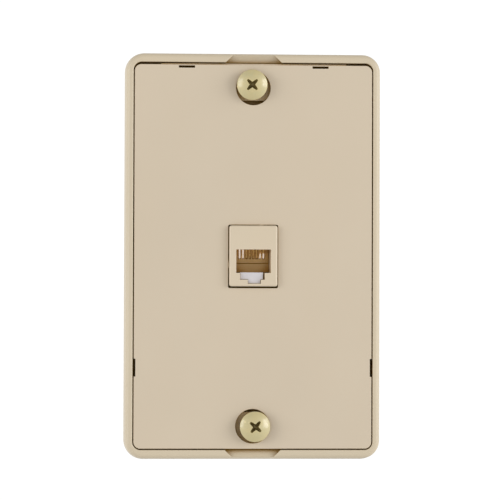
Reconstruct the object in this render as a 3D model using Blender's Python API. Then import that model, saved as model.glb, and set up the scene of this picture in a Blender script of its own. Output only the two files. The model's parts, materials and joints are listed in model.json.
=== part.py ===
"""A wall plate for a wall telephone: a base frame with a raised rim, a snap-in face panel, two shoulder
studs that a telephone hangs on, and a modular jack with its screw terminals behind.

X is the width, Z is the height, and Y is the depth: the front faces -Y and the wall plane is Y = 0.
"""

import math

import bmesh
import bpy
from mathutils import Vector

MM = 0.001
GAP = 0.3 * MM  # between pieces that rest on each other
FINE_GAP = 0.2 * MM  # between small pieces

# Base frame
PLATE_WIDTH = 76.2 * MM
PLATE_HEIGHT = 120.65 * MM
PLATE_CORNER = 5.8 * MM
RIM_FRONT = -6.85 * MM
RIM_EDGE = 1.5 * MM  # radius of the rim's outer front edge
RIM_DRAFT = 0.5 * MM  # how far each side leans in over the rim's height
RIM_SIDE = 2.6 * MM
RIM_END = 3.1 * MM
WELL_CORNER = 2.4 * MM
WELL_FLARE = 0.3 * MM  # how far the mouth of the well opens out
FLOOR_FRONT = -2.6 * MM
FLOOR_BACK = -0.6 * MM
BACK_BAND = 2.4 * MM  # width of the band that touches the wall
BOSS_FRONT = -4.4 * MM
STUD_BOSS_HALF = 8.5 * MM
STUD_BOSS_INNER = 46.1 * MM  # where the boss under a stud starts, from the plate's middle
BOARD_BOSS = 3.0 * MM
PILOT = 1.4 * MM
PILOT_FRONT = -4.0 * MM
ROOTED = 0.5 * MM  # how far a joined piece runs into the wall it grows from

# Pry notches in the middle of the rim's ends
NOTCH_INNER = 8.3 * MM
NOTCH_OUTER = 6.15 * MM
NOTCH_REACH = 59.3 * MM
NOTCH_LIP = -6.35 * MM
NOTCH_FOOT = -4.6 * MM
NOTCH_OVERRUN = 0.4 * MM  # how far the ramp runs on into the well

# Face panel
PANEL_WIDTH = 70.4 * MM
PANEL_HEIGHT = 113.45 * MM
PANEL_MIDDLE = (0.0, -0.175 * MM)  # it rests low in the rim
PANEL_CORNER = 2.0 * MM
PANEL_FRONT = -6.6 * MM
PANEL_BACK = -4.8 * MM
PANEL_EDGE = 0.3 * MM
LIP_HALF = 27.4 * MM
LIP_REACH = 0.35 * MM
LIP_FRONT = -5.8 * MM
PANEL_HOLE = 5.05 * MM  # radius of the hole round a stud
PANEL_HOLE_X = -0.1 * MM
PANEL_HOLE_TOP = 49.65 * MM
PANEL_HOLE_BOTTOM = -50.24 * MM
SLOT_X = 19.8 * MM
SLOT_WIDTH = 4.8 * MM
SLOT_HEIGHT = 0.7 * MM
SLOT_STRIP = 0.3 * MM  # what is left between a slot and the panel's top edge
NICK_Z = -33.0 * MM
NICK_HEIGHT = 5.3 * MM
NICK_DEPTH = 0.55 * MM
LEG_BACK = -2.9 * MM
LEG_THICK = 1.1 * MM
RIB_X = 31.5 * MM
RIB_HALF = 0.6 * MM
RIB_BACK = -3.2 * MM
RIB_LOW = -26.0 * MM
RIB_HIGH = 46.0 * MM
WAY_MIDDLE = (-0.03 * MM, -0.135 * MM)  # the opening round the jack, beside the jack's own middle
WAY_HALF = (7.35 * MM, 9.335 * MM)
WAY_CORNER = 0.35 * MM
NUB_RADIUS = 0.5 * MM
NUB_REACH = 0.1 * MM
NUB_PLACE = 2.4 * MM  # from the jack's middle, down the left edge and along the top edge
NUB_SINK = 0.1 * MM

# Studs: a telephone's keyhole slots drop over the necks and are held by the heads
TOP_STUD = (-0.38 * MM, 50.03 * MM)  # each stud has drifted a little in its clearance hole
BOTTOM_STUD = (0.36 * MM, -50.24 * MM)
STUD_HEAD = 4.5 * MM
STUD_HEAD_BACK = -8.2 * MM
STUD_HEAD_FRONT = -10.3 * MM
STUD_DOME = 7.2 * MM  # radius of the head's dome
STUD_CROWN = 0.6 * MM  # radius of the small flat in the middle of the dome
STUD_ROUND = 0.15 * MM
STUD_NECK = 2.6 * MM
STUD_COLLAR = 4.0 * MM
STUD_COLLAR_THICK = 0.8 * MM
STUD_SHANK_END = -0.2 * MM
STUD_SHANK = 2.05 * MM
STUD_HOLE = 2.9 * MM
NUT_HALF = 3.6 * MM
NUT_THICK = 2.0 * MM
DRIVE_LENGTH = 2.2 * MM  # from the middle of a cross recess to the tip of its arm
DRIVE_WIDTH = 0.58 * MM
DRIVE_DEPTH = 1.8 * MM
DRIVE_ARM = 0.7  # half the width of an arm, as a share of the width above
DRIVE_THROAT = 1.2  # how far out the arms part, as a share of the width above
DRIVE_TAPER = 0.35

# Screws into the wall box
BOX_SCREW_SPACING = 83.3 * MM
BOX_SLOT_HALF = 4.2 * MM
BOX_SLOT_RADIUS = 2.2 * MM
BOX_SHANK = 1.73 * MM
BOX_SCREW_END = 20.0 * MM
BOX_HEAD = 2.9 * MM
BOX_HEAD_HEIGHT = 1.5 * MM
BOX_DRIVE_HALF = 0.45 * MM
BOX_DRIVE_DEPTH = 0.8 * MM
SCREW_TIP = 0.4 * MM  # length of the tapered tip of a small screw

# Jack
JACK_HALF_X = 7.13 * MM
JACK_HALF_Z = 9.0 * MM
JACK_CORNER = 0.7 * MM
JACK_FRONT = -7.9 * MM
JACK_BACK = 8.6 * MM
JACK_EDGE = 0.6 * MM
JACK_CLEARANCE = 0.33 * MM
SOCKET_MIDDLE = 0.06 * MM
SOCKET_HALF = 5.13 * MM
SOCKET_FLOOR = -5.0 * MM
SOCKET_TOP = 1.9 * MM
CHAMBER_TOP = 7.6 * MM
FACE_WALL = 1.6 * MM
KEYWAY_WIDE = (-3.95 * MM, 3.05 * MM)
KEYWAY_STEP = -7.0 * MM
KEYWAY_NARROW = (-1.66 * MM, 2.22 * MM)
KEYWAY_BOTTOM = -8.15 * MM
REBATE_SIDE = 3.35 * MM  # a shallow step beside the keyway
REBATE_DEPTH = 1.4 * MM
LATCH_FRONT = -7.2 * MM
LATCH_WIDE = (-3.8 * MM, 2.87 * MM)
LATCH_TOP = -4.85 * MM
LATCH_STEP = -6.85 * MM
LATCH_NARROW = (-1.51 * MM, 2.07 * MM)
LATCH_BOTTOM = -8.0 * MM
FLANGE_X = 9.2 * MM
FLANGE_Z = 11.2 * MM
FLANGE_THICK = 1.2 * MM

# Contacts
CONTACT_COUNT = 8
CONTACT_PITCH = 1.016 * MM
CONTACT_RADIUS = 0.23 * MM
CONTACT_MIDDLE = 0.05 * MM
CONTACT_PIVOT = Vector((CONTACT_MIDDLE, -4.4 * MM, 3.4 * MM))
CONTACT_TOP = 6.4 * MM
CONTACT_END = Vector((CONTACT_MIDDLE, 3.5 * MM, -0.4 * MM))
CONTACT_BEND = 0.8 * MM
COMB_SLOT = 0.7 * MM
COMB_FOOT = -0.8 * MM
COMB_DEPTH = 1.6 * MM
PARTING_LOW = -2.2 * MM  # a groove across the wall under the comb
PARTING_HIGH = -1.95 * MM
PARTING_DEPTH = 0.7 * MM
POCKET_FRONT = 0.95 * MM  # the pocket over each bend, in front of the bend and behind it
POCKET_BACK = 0.6 * MM
CARRIER_WALL = 3.2 * MM
CARRIER_BACK = 8.2 * MM
CARRIER_ARM = 4.9 * MM
REAR_CAP_THICK = 1.4 * MM

# Terminal board behind the floor
BOARD_HALF_X = 21.0 * MM
BOARD_HALF_Z = 16.0 * MM
BOARD_CORNER = 2.0 * MM
BOARD_THICK = 3.6 * MM
BOARD_SCREW_Z = 13.6 * MM
BOARD_SCREW_HEAD = 2.4 * MM
BOARD_SCREW_HEIGHT = 1.5 * MM
BOARD_SCREW_SHANK = 1.1 * MM
BOARD_SCREW_END = -3.6 * MM
TERMINAL_X = 14.5 * MM
TERMINAL_Z = 9.0 * MM
TERMINAL_SHANK = 1.45 * MM
TERMINAL_HOLE = 1.8 * MM
TERMINAL_HEAD = 3.0 * MM
TERMINAL_HEAD_HEIGHT = 1.8 * MM
TERMINAL_RISE = 0.3 * MM  # from the board's front to the tip of a terminal screw
SMALL_DRIVE_SINK = 0.1 * MM
LUG_THICK = 0.5 * MM
LUG_OUTER = 3.1 * MM
LUG_PRONG = 2.4 * MM
BARREL_OUTER = 1.1 * MM
BARREL_INNER = 0.78 * MM
BARREL_NEAR = 5.4 * MM
BARREL_FAR = 3.4 * MM
LUG_NECK = 1.0 * MM
LUG_NECK_NEAR = 0.6 * MM  # overlap of the neck with the fork
LUG_NECK_FAR = 0.8 * MM  # overlap of the neck with the barrel
BARREL_MOUTH = 0.3 * MM
WASHER_HALF = 3.25 * MM
WASHER_THICK = 0.6 * MM
WASHER_CORNER = 0.6 * MM
LEAD_RADIUS = 0.6 * MM
LEAD_HOLE = 0.9 * MM
LEAD_X = 2.6 * MM
LEAD_Z = 3.2 * MM

# Depths of the terminal stack, from the board's front to the screw heads
BOARD_FRONT = FLOOR_BACK + GAP
BOARD_BACK = BOARD_FRONT + BOARD_THICK
LUG_FRONT = BOARD_BACK + FINE_GAP
WASHER_FRONT = LUG_FRONT + LUG_THICK + FINE_GAP
TERMINAL_SEAT = WASHER_FRONT + WASHER_THICK + FINE_GAP
BARREL_DEPTH = LUG_FRONT + BARREL_OUTER
CAP_FRONT = JACK_BACK + GAP
CAP_BACK = CAP_FRONT + REAR_CAP_THICK

ROUND_STEPS = 6  # segments in a quarter circle of an outline
TURNED_STEPS = 28
SMALL_STEPS = 16
PAST = 1.0 * MM  # how far a cutter runs past the wall it cuts


def clear_scene():
    for obj in list(bpy.data.objects):
        bpy.data.objects.remove(obj, do_unlink=True)


def make_material(name, colour, roughness, metallic=0.0):
    material = bpy.data.materials.new(name)
    material.use_nodes = True
    shader = material.node_tree.nodes["Principled BSDF"]
    shader.inputs["Base Color"].default_value = (*colour, 1.0)
    shader.inputs["Roughness"].default_value = roughness
    shader.inputs["Metallic"].default_value = metallic
    return material


def rounded_rect(half_x, half_z, radius, centre=(0.0, 0.0)):
    """Points of a rounded rectangle in the XZ plane, anticlockwise."""
    points = []
    for turn, (sign_x, sign_z) in enumerate(((1, 1), (-1, 1), (-1, -1), (1, -1))):
        corner_x = centre[0] + sign_x * (half_x - radius)
        corner_z = centre[1] + sign_z * (half_z - radius)
        for step in range(ROUND_STEPS + 1):
            angle = math.radians(90 * (turn + step / ROUND_STEPS))
            points.append((corner_x + radius * math.cos(angle), corner_z + radius * math.sin(angle)))
    return points


def circle(radius, centre=(0.0, 0.0), steps=TURNED_STEPS):
    angles = [math.tau * (step + 0.5) / steps for step in range(steps)]
    return [(centre[0] + radius * math.cos(a), centre[1] + radius * math.sin(a)) for a in angles]


def add_object(name, mesh, material=None):
    data = bpy.data.meshes.new(name)
    bmesh.ops.recalc_face_normals(mesh, faces=mesh.faces)
    mesh.to_mesh(data)
    mesh.free()
    obj = bpy.data.objects.new(name, data)
    bpy.context.scene.collection.objects.link(obj)
    if material:
        data.materials.append(material)
    data.shade_smooth()
    data.set_sharp_from_angle(angle=math.radians(35))
    return obj


def lofted(name, sections, material=None):
    """A closed solid through outlines with equally many points: sections are (depth, outline)."""
    mesh = bmesh.new()
    rings = [[mesh.verts.new((x, depth, z)) for x, z in outline] for depth, outline in sections]
    for near, far in zip(rings, rings[1:]):
        for index in range(len(near)):
            after = (index + 1) % len(near)
            mesh.faces.new((near[index], near[after], far[after], far[index]))
    mesh.faces.new(rings[0])
    mesh.faces.new(reversed(rings[-1]))
    return add_object(name, mesh, material)


def plate(name, outline, front, back, material=None):
    """A flat plate with this outline, made by extruding its front face to the back."""
    mesh = bmesh.new()
    face = mesh.faces.new([mesh.verts.new((x, front, z)) for x, z in outline])
    extruded = bmesh.ops.extrude_face_region(mesh, geom=[face])
    moved = [item for item in extruded["geom"] if isinstance(item, bmesh.types.BMVert)]
    bmesh.ops.translate(mesh, verts=moved, vec=(0.0, back - front, 0.0))
    return add_object(name, mesh, material)


def block(name, low, high, material=None):
    corners = [(low[0], low[2]), (high[0], low[2]), (high[0], high[2]), (low[0], high[2])]
    return plate(name, corners, low[1], high[1], material)


def turned(name, profile, centre=(0.0, 0.0), material=None, steps=TURNED_STEPS):
    """A solid turned about an axis along Y: profile is (radius, depth) from front to back."""
    sections = [(depth, circle(radius, centre, steps)) for radius, depth in profile]
    return lofted(name, sections, material)


def as_cutter(obj):
    obj.hide_render = True
    obj.display_type = "WIRE"
    return obj


def boolean(obj, other, operation):
    modifier = obj.modifiers.new(f"{operation.lower()}_{other.name}", "BOOLEAN")
    modifier.operation = operation
    modifier.solver = "EXACT"
    modifier.object = as_cutter(other)


def cut(obj, *cutters):
    for cutter in cutters:
        boolean(obj, cutter, "DIFFERENCE")


def join(obj, *pieces):
    for piece in pieces:
        boolean(obj, piece, "UNION")


def rounded_front(half, corner, front, back, edge, centre=(0.0, 0.0), draft=0.0, steps=4):
    """Sections of a rounded block whose front edge is a quarter circle."""
    half_x, half_z = half
    sections = []
    for step in range(steps + 1):
        angle = math.radians(90 * step / steps)
        inset = draft + edge * (1 - math.sin(angle))
        depth = front + edge * (1 - math.cos(angle))
        sections.append((depth, rounded_rect(half_x - inset, half_z - inset, corner - inset, centre)))
    sections.append((back, rounded_rect(half_x, half_z, corner, centre)))
    return sections


def cross_recess(name, centre, front, tilt, length=DRIVE_LENGTH, width=DRIVE_WIDTH, depth=DRIVE_DEPTH):
    """A cutter for a cross drive: four arms that taper to a point at the bottom."""
    outline = []
    for arm in range(4):
        angle = math.radians(90 * arm + tilt)
        along = Vector((math.cos(angle), math.sin(angle)))
        aside = Vector((-along.y, along.x))
        outline.append(along * length - aside * width * DRIVE_ARM)
        outline.append(along * length + aside * width * DRIVE_ARM)
        outline.append((along + aside) * width * DRIVE_THROAT)

    def at(scale):
        return [(centre[0] + scale * p.x, centre[1] + scale * p.y) for p in outline]

    outside = front - math.copysign(PAST, depth)
    return lofted(name, [(outside, at(1.0)), (front, at(1.0)), (front + depth, at(DRIVE_TAPER))])


# ---------------------------------------------------------------- base frame


def pry_notch(name, side):
    """A ramp cut into the rim's inner edge, with slanted ends, where a blade lifts the panel."""
    inner = PLATE_HEIGHT / 2 - RIM_END - NOTCH_OVERRUN
    past = RIM_FRONT - PAST
    section = ((NOTCH_REACH, past), (NOTCH_REACH, NOTCH_LIP), (inner, NOTCH_FOOT), (inner, past))
    slope = (NOTCH_INNER - NOTCH_OUTER) / (NOTCH_REACH - (PLATE_HEIGHT / 2 - RIM_END))
    mesh = bmesh.new()
    ends = []
    for sign in (-1, 1):
        ring = []
        for height, depth in section:
            half = NOTCH_OUTER + slope * (NOTCH_REACH - height)
            ring.append(mesh.verts.new((sign * half, depth, side * height)))
        ends.append(ring)
    for index in range(4):
        after = (index + 1) % 4
        mesh.faces.new((ends[0][index], ends[0][after], ends[1][after], ends[1][index]))
    mesh.faces.new(ends[0])
    mesh.faces.new(reversed(ends[1]))
    return add_object(name, mesh)


def rounded_slot(name, centre_z, half_length, radius, front, back):
    points = []
    for sign in (1, -1):
        for step in range(9):
            angle = math.radians(-90 + 180 * step / 8)
            x = sign * (half_length - radius + radius * math.cos(angle))
            points.append((x, centre_z + sign * radius * math.sin(angle)))
    return plate(name, points, front, back)


def well_cutter():
    """The hollow inside the rim, with a slightly flared mouth."""
    half_x = PLATE_WIDTH / 2 - RIM_SIDE
    half_z = PLATE_HEIGHT / 2 - RIM_END
    well = rounded_rect(half_x, half_z, WELL_CORNER)
    mouth = rounded_rect(half_x + WELL_FLARE, half_z + WELL_FLARE, WELL_CORNER + WELL_FLARE)
    sections = [(RIM_FRONT - PAST, mouth), (RIM_FRONT, mouth)]
    sections += [(RIM_FRONT + WELL_FLARE, well), (FLOOR_FRONT, well)]
    return lofted("cutter_well", sections)


def stud_boss(side):
    outer = PLATE_HEIGHT / 2 - RIM_END + PAST
    low = (-STUD_BOSS_HALF, BOSS_FRONT, min(side * STUD_BOSS_INNER, side * outer))
    high = (STUD_BOSS_HALF, FLOOR_FRONT + ROOTED, max(side * STUD_BOSS_INNER, side * outer))
    return block(f"boss_stud_{side}", low, high)


def stud_place(side):
    return TOP_STUD if side > 0 else BOTTOM_STUD


def cut_stud_seat(base, side):
    """The hole for a stud's shank, and the square pocket behind it for the nut."""
    x, z = stud_place(side)
    past = BOSS_FRONT - PAST
    cut(base, plate(f"cutter_stud_hole_{side}", circle(STUD_HOLE, (x, z)), past, PAST))
    pocket = NUT_HALF + FINE_GAP
    nut_front = FLOOR_BACK - NUT_THICK - FINE_GAP
    low = (x - pocket, nut_front, z - pocket)
    high = (x + pocket, PAST, z + pocket)
    cut(base, block(f"cutter_nut_{side}", low, high))


def make_base_frame(material):
    half = (PLATE_WIDTH / 2, PLATE_HEIGHT / 2)
    outer = rounded_front(half, PLATE_CORNER, RIM_FRONT, 0.0, RIM_EDGE, draft=RIM_DRAFT)
    base = lofted("base_frame", outer, material)
    cut(base, well_cutter())
    recess = rounded_rect(half[0] - BACK_BAND, half[1] - BACK_BAND, PLATE_CORNER - BACK_BAND)
    cut(base, plate("cutter_back_recess", recess, FLOOR_BACK, PAST))
    for side in (-1, 1):
        join(base, stud_boss(side))
        boss = circle(BOARD_BOSS, (0.0, side * BOARD_SCREW_Z), SMALL_STEPS)
        join(base, plate(f"boss_board_{side}", boss, BOSS_FRONT, FLOOR_FRONT + ROOTED))
    for side in (-1, 1):
        cut(base, pry_notch(f"cutter_notch_{side}", side))
        cut_stud_seat(base, side)
        slot_z = side * BOX_SCREW_SPACING / 2
        name = f"cutter_box_slot_{side}"
        past = FLOOR_FRONT - PAST
        cut(base, rounded_slot(name, slot_z, BOX_SLOT_HALF, BOX_SLOT_RADIUS, past, PAST))
        pilot = circle(PILOT, (0.0, side * BOARD_SCREW_Z), SMALL_STEPS)
        cut(base, plate(f"cutter_pilot_{side}", pilot, PILOT_FRONT, PAST))
    opening = rounded_rect(JACK_HALF_X + JACK_CLEARANCE, JACK_HALF_Z + JACK_CLEARANCE, JACK_CORNER)
    cut(base, plate("cutter_jack_way", opening, BOSS_FRONT - PAST, PAST))
    return base


# ---------------------------------------------------------------- face panel


def side_nick(side):
    edge = PANEL_MIDDLE[0] + side * PANEL_WIDTH / 2
    inner = edge - side * NICK_DEPTH
    outer = edge + side * PAST
    low = (min(inner, outer), PANEL_FRONT - PAST, NICK_Z - NICK_HEIGHT / 2)
    high = (max(inner, outer), 0.0, NICK_Z + NICK_HEIGHT / 2)
    return block(f"cutter_nick_{side}", low, high)


def panel_lip():
    """A thin tongue below the panel's front that half fills the gap to the rim's top end."""
    edge = PANEL_MIDDLE[1] + PANEL_HEIGHT / 2
    low = (-LIP_HALF, LIP_FRONT, edge - PAST)
    high = (LIP_HALF, PANEL_BACK, edge + LIP_REACH)
    return block("lip_top", low, high)


def panel_leg(name, centre, half_x, half_z):
    low = (centre[0] - half_x, PANEL_BACK - ROOTED, centre[1] - half_z)
    high = (centre[0] + half_x, LEG_BACK, centre[1] + half_z)
    return block(name, low, high)


def join_legs(panel, slot_foot):
    """The snap legs behind the slots and the nicks, and the long stiffening ribs."""
    half_slot = SLOT_WIDTH / 2
    half_nick = NICK_HEIGHT / 2
    for side in (-1, 1):
        top = (side * SLOT_X, slot_foot - LEG_THICK / 2)
        join(panel, panel_leg(f"leg_top_{side}", top, half_slot, LEG_THICK / 2))
        leg_x = PANEL_MIDDLE[0] + side * (PANEL_WIDTH / 2 - NICK_DEPTH - LEG_THICK / 2)
        join(panel, panel_leg(f"leg_side_{side}", (leg_x, NICK_Z), LEG_THICK / 2, half_nick))
        low = (side * RIB_X - RIB_HALF, PANEL_BACK - ROOTED, RIB_LOW)
        high = (side * RIB_X + RIB_HALF, RIB_BACK, RIB_HIGH)
        join(panel, block(f"rib_{side}", low, high))


def join_nubs(panel):
    """Two small bumps on the edge of the opening that centre the panel on the jack."""
    left = WAY_MIDDLE[0] - WAY_HALF[0] - NUB_RADIUS + NUB_REACH
    top = WAY_MIDDLE[1] + WAY_HALF[1] + NUB_RADIUS - NUB_REACH
    for name, centre in (("nub_left", (left, -NUB_PLACE)), ("nub_top", (NUB_PLACE, top))):
        nub = circle(NUB_RADIUS, centre, SMALL_STEPS)
        join(panel, plate(name, nub, PANEL_FRONT + NUB_SINK, PANEL_BACK - NUB_SINK))


def make_face_panel(material):
    half = (PANEL_WIDTH / 2, PANEL_HEIGHT / 2)
    sections = rounded_front(
        half, PANEL_CORNER, PANEL_FRONT, PANEL_BACK, PANEL_EDGE, PANEL_MIDDLE, steps=2
    )
    panel = lofted("face_panel", sections, material)
    join(panel, panel_lip())
    slot_top = PANEL_MIDDLE[1] + half[1] - SLOT_STRIP
    slot_foot = slot_top - SLOT_HEIGHT
    join_legs(panel, slot_foot)
    past = PANEL_FRONT - PAST
    for side, hole_z in ((1, PANEL_HOLE_TOP), (-1, PANEL_HOLE_BOTTOM)):
        cut(panel, plate(f"cutter_panel_hole_{side}", circle(PANEL_HOLE, (PANEL_HOLE_X, hole_z)), past, 0.0))
        low = (side * SLOT_X - SLOT_WIDTH / 2, past, slot_foot)
        high = (side * SLOT_X + SLOT_WIDTH / 2, 0.0, slot_top)
        cut(panel, block(f"cutter_panel_slot_{side}", low, high))
        cut(panel, side_nick(side))
    way = rounded_rect(*WAY_HALF, WAY_CORNER, WAY_MIDDLE)
    cut(panel, plate("cutter_panel_jack", way, past, 0.0))
    join_nubs(panel)
    return panel


# ---------------------------------------------------------------- studs and screws


def make_stud(name, side, tilt, material):
    """A shoulder stud: domed head, neck, collar on the boss, and a shank into the nut."""
    centre = stud_place(side)
    dome_middle = STUD_HEAD_FRONT + STUD_DOME
    first = math.asin(STUD_CROWN / STUD_DOME)
    last = math.asin(STUD_HEAD / STUD_DOME)
    profile = []
    for step in range(7):
        angle = first + (last - first) * step / 6
        profile.append((STUD_DOME * math.sin(angle), dome_middle - STUD_DOME * math.cos(angle)))
    profile.append((STUD_HEAD, STUD_HEAD_BACK - STUD_ROUND))
    profile.append((STUD_HEAD - STUD_ROUND, STUD_HEAD_BACK))
    collar_back = BOSS_FRONT - FINE_GAP
    collar_front = collar_back - STUD_COLLAR_THICK
    profile += [(STUD_NECK, STUD_HEAD_BACK), (STUD_NECK, collar_front)]
    profile += [(STUD_COLLAR, collar_front), (STUD_COLLAR, collar_back)]
    profile += [(STUD_SHANK, collar_back), (STUD_SHANK, STUD_SHANK_END)]
    stud = turned(name, profile, centre, material)
    cut(stud, cross_recess(f"cutter_drive_{name}", centre, STUD_HEAD_FRONT + FINE_GAP, tilt))
    return stud


def make_nut(name, side, material):
    """A square nut held in its pocket behind the boss."""
    centre = stud_place(side)
    front = FLOOR_BACK - NUT_THICK
    low = (centre[0] - NUT_HALF, front, centre[1] - NUT_HALF)
    high = (centre[0] + NUT_HALF, FLOOR_BACK, centre[1] + NUT_HALF)
    nut = block(name, low, high, material)
    bore = circle(STUD_SHANK + FINE_GAP, centre)
    cut(nut, plate(f"cutter_bore_{name}", bore, front - PAST, PAST))
    return nut


def pan_screw(name, centre, seat, head, height, shank, end, material, steps=SMALL_STEPS):
    """A pan-head screw whose head faces away from its end, which may lie on either side."""
    away = 1 if seat > end else -1
    profile = [(head * 0.45, seat + away * height), (head * 0.85, seat + away * height * 0.78)]
    profile += [(head, seat + away * height * 0.35), (head, seat), (shank, seat)]
    profile += [(shank, end + away * SCREW_TIP), (shank * 0.7, end)]
    return turned(name, profile, centre, material, steps)


def make_box_screw(name, side, material):
    centre = (0.0, side * BOX_SCREW_SPACING / 2)
    seat = FLOOR_FRONT - GAP
    screw = pan_screw(
        name, centre, seat, BOX_HEAD, BOX_HEAD_HEIGHT, BOX_SHANK, BOX_SCREW_END, material
    )
    top = seat - BOX_HEAD_HEIGHT
    low = (-BOX_DRIVE_HALF, top - PAST, centre[1] - BOX_HEAD - PAST)
    high = (BOX_DRIVE_HALF, top + BOX_DRIVE_DEPTH, centre[1] + BOX_HEAD + PAST)
    cut(screw, block(f"cutter_slot_{name}", low, high))
    return screw


# ---------------------------------------------------------------- jack


def jack_section(half_x, half_z, grow=0.0):
    return rounded_rect(half_x + grow, half_z + grow, JACK_CORNER)


def make_jack_housing(material):
    half = (JACK_HALF_X, JACK_HALF_Z)
    sections = rounded_front(half, JACK_CORNER, JACK_FRONT, JACK_BACK, JACK_EDGE, steps=3)
    housing = lofted("jack_housing", sections, material)
    flange = rounded_rect(FLANGE_X, FLANGE_Z, JACK_CORNER)
    join(housing, plate("jack_flange", flange, BOARD_FRONT, BOARD_FRONT + FLANGE_THICK))
    left = SOCKET_MIDDLE - SOCKET_HALF
    right = SOCKET_MIDDLE + SOCKET_HALF
    inner_front = JACK_FRONT + FACE_WALL
    past = JACK_FRONT - PAST
    high = (right, JACK_BACK + PAST, CHAMBER_TOP)
    cut(housing, block("cutter_chamber", (left, inner_front, SOCKET_FLOOR), high))
    high = (right, inner_front + PAST, SOCKET_TOP)
    cut(housing, block("cutter_socket", (left, past, SOCKET_FLOOR), high))
    keyway_top = SOCKET_FLOOR + GAP
    keyway = stepped_outline(KEYWAY_WIDE, KEYWAY_NARROW, keyway_top, KEYWAY_STEP, KEYWAY_BOTTOM)
    cut(housing, plate("cutter_keyway", keyway, past, JACK_BACK + PAST))
    high = (REBATE_SIDE, JACK_FRONT + REBATE_DEPTH, keyway_top)
    cut(housing, block("cutter_rebate", (0.0, past, KEYWAY_STEP), high))
    return housing


def stepped_outline(wide, narrow, top, step, bottom):
    """The stepped section of the keyway under the socket, or of a piece that fits in it."""
    right = [(narrow[1], bottom), (narrow[1], step), (wide[1], step), (wide[1], top)]
    left = [(wide[0], top), (wide[0], step), (narrow[0], step), (narrow[0], bottom)]
    return right + left


def make_latch_insert(material):
    """The white piece in the keyway that a plug's latch rides over."""
    outline = stepped_outline(LATCH_WIDE, LATCH_NARROW, LATCH_TOP, LATCH_STEP, LATCH_BOTTOM)
    return plate("latch_insert", outline, LATCH_FRONT, JACK_BACK - ROOTED, material)


def contact_offsets():
    first = -(CONTACT_COUNT - 1) / 2
    return [(first + index) * CONTACT_PITCH for index in range(CONTACT_COUNT)]


def make_contact_carrier(material):
    """The block behind the socket: a back wall with a comb, and an arm that holds the contacts."""
    left = SOCKET_MIDDLE - SOCKET_HALF + FINE_GAP
    right = SOCKET_MIDDLE + SOCKET_HALF - FINE_GAP
    top = CHAMBER_TOP - FINE_GAP
    low = (left, CARRIER_WALL, SOCKET_FLOOR + GAP + FINE_GAP)
    carrier = block("contact_carrier", low, (right, CARRIER_BACK, top), material)
    low = (left, JACK_FRONT + FACE_WALL + FINE_GAP, CARRIER_ARM)
    join(carrier, block("carrier_arm", low, (right, CARRIER_WALL + PAST, top)))
    low = (left - PAST, CARRIER_WALL - PAST, PARTING_LOW)
    high = (right + PAST, CARRIER_WALL + PARTING_DEPTH, PARTING_HIGH)
    cut(carrier, block("cutter_parting", low, high))
    for index, offset in enumerate(contact_offsets()):
        x = CONTACT_MIDDLE + offset
        low = (x - COMB_SLOT / 2, CARRIER_WALL - PAST, COMB_FOOT)
        high = (x + COMB_SLOT / 2, CARRIER_WALL + COMB_DEPTH, CARRIER_ARM)
        cut(carrier, block(f"cutter_comb_{index}", low, high))
        low = (x - COMB_SLOT / 2, CONTACT_PIVOT.y - POCKET_FRONT, CARRIER_ARM - ROOTED)
        high = (x + COMB_SLOT / 2, CONTACT_PIVOT.y + POCKET_BACK, CONTACT_TOP + ROOTED)
        cut(carrier, block(f"cutter_pocket_{index}", low, high))
    return carrier


def contact_route():
    """Middle line of a contact: down from its pocket, round a bend, then sloping to its free end."""
    slope = (CONTACT_END - CONTACT_PIVOT).normalized()
    up = Vector((0.0, 0.0, 1.0))
    start = CONTACT_PIVOT + up * CONTACT_BEND
    finish = CONTACT_PIVOT + slope * CONTACT_BEND
    route = [Vector((CONTACT_MIDDLE, CONTACT_PIVOT.y, CONTACT_TOP))]
    for step in range(6):
        part = step / 5
        near = start.lerp(CONTACT_PIVOT, part)
        far = CONTACT_PIVOT.lerp(finish, part)
        route.append(near.lerp(far, part))
    route.append(CONTACT_END)
    return route


def tube(name, points, radius, material, resolution=2):
    data = bpy.data.curves.new(name, "CURVE")
    data.dimensions = "3D"
    data.bevel_depth = radius
    data.bevel_resolution = resolution
    data.use_fill_caps = True
    spline = data.splines.new("POLY")
    spline.points.add(len(points) - 1)
    for target, point in zip(spline.points, points):
        target.co = (*point, 1.0)
    data.materials.append(material)
    obj = bpy.data.objects.new(name, data)
    bpy.context.scene.collection.objects.link(obj)
    return obj


def make_contacts(material):
    """Eight sprung wires on one hinge line at their bends."""
    pivot = bpy.data.objects.new("contact_pivot", None)
    pivot.location = CONTACT_PIVOT
    bpy.context.scene.collection.objects.link(pivot)
    route = [point - CONTACT_PIVOT for point in contact_route()]
    for index, x in enumerate(contact_offsets()):
        wire = tube(f"contact_wire_{index + 1}", route, CONTACT_RADIUS, material, resolution=1)
        wire.location.x = x
        wire.parent = pivot


def lead_exits():
    return [(sx, sz) for sz in (1, -1) for sx in (-1, 1)]


def make_rear_cap(material):
    cap = plate("rear_cap", jack_section(JACK_HALF_X, JACK_HALF_Z), CAP_FRONT, CAP_BACK, material)
    for index, (sx, sz) in enumerate(lead_exits()):
        hole = circle(LEAD_HOLE, (sx * LEAD_X, sz * LEAD_Z), SMALL_STEPS)
        cut(cap, plate(f"cutter_lead_{index}", hole, CAP_FRONT - PAST, CAP_BACK + PAST))
    return cap


# ---------------------------------------------------------------- terminal board


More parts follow.
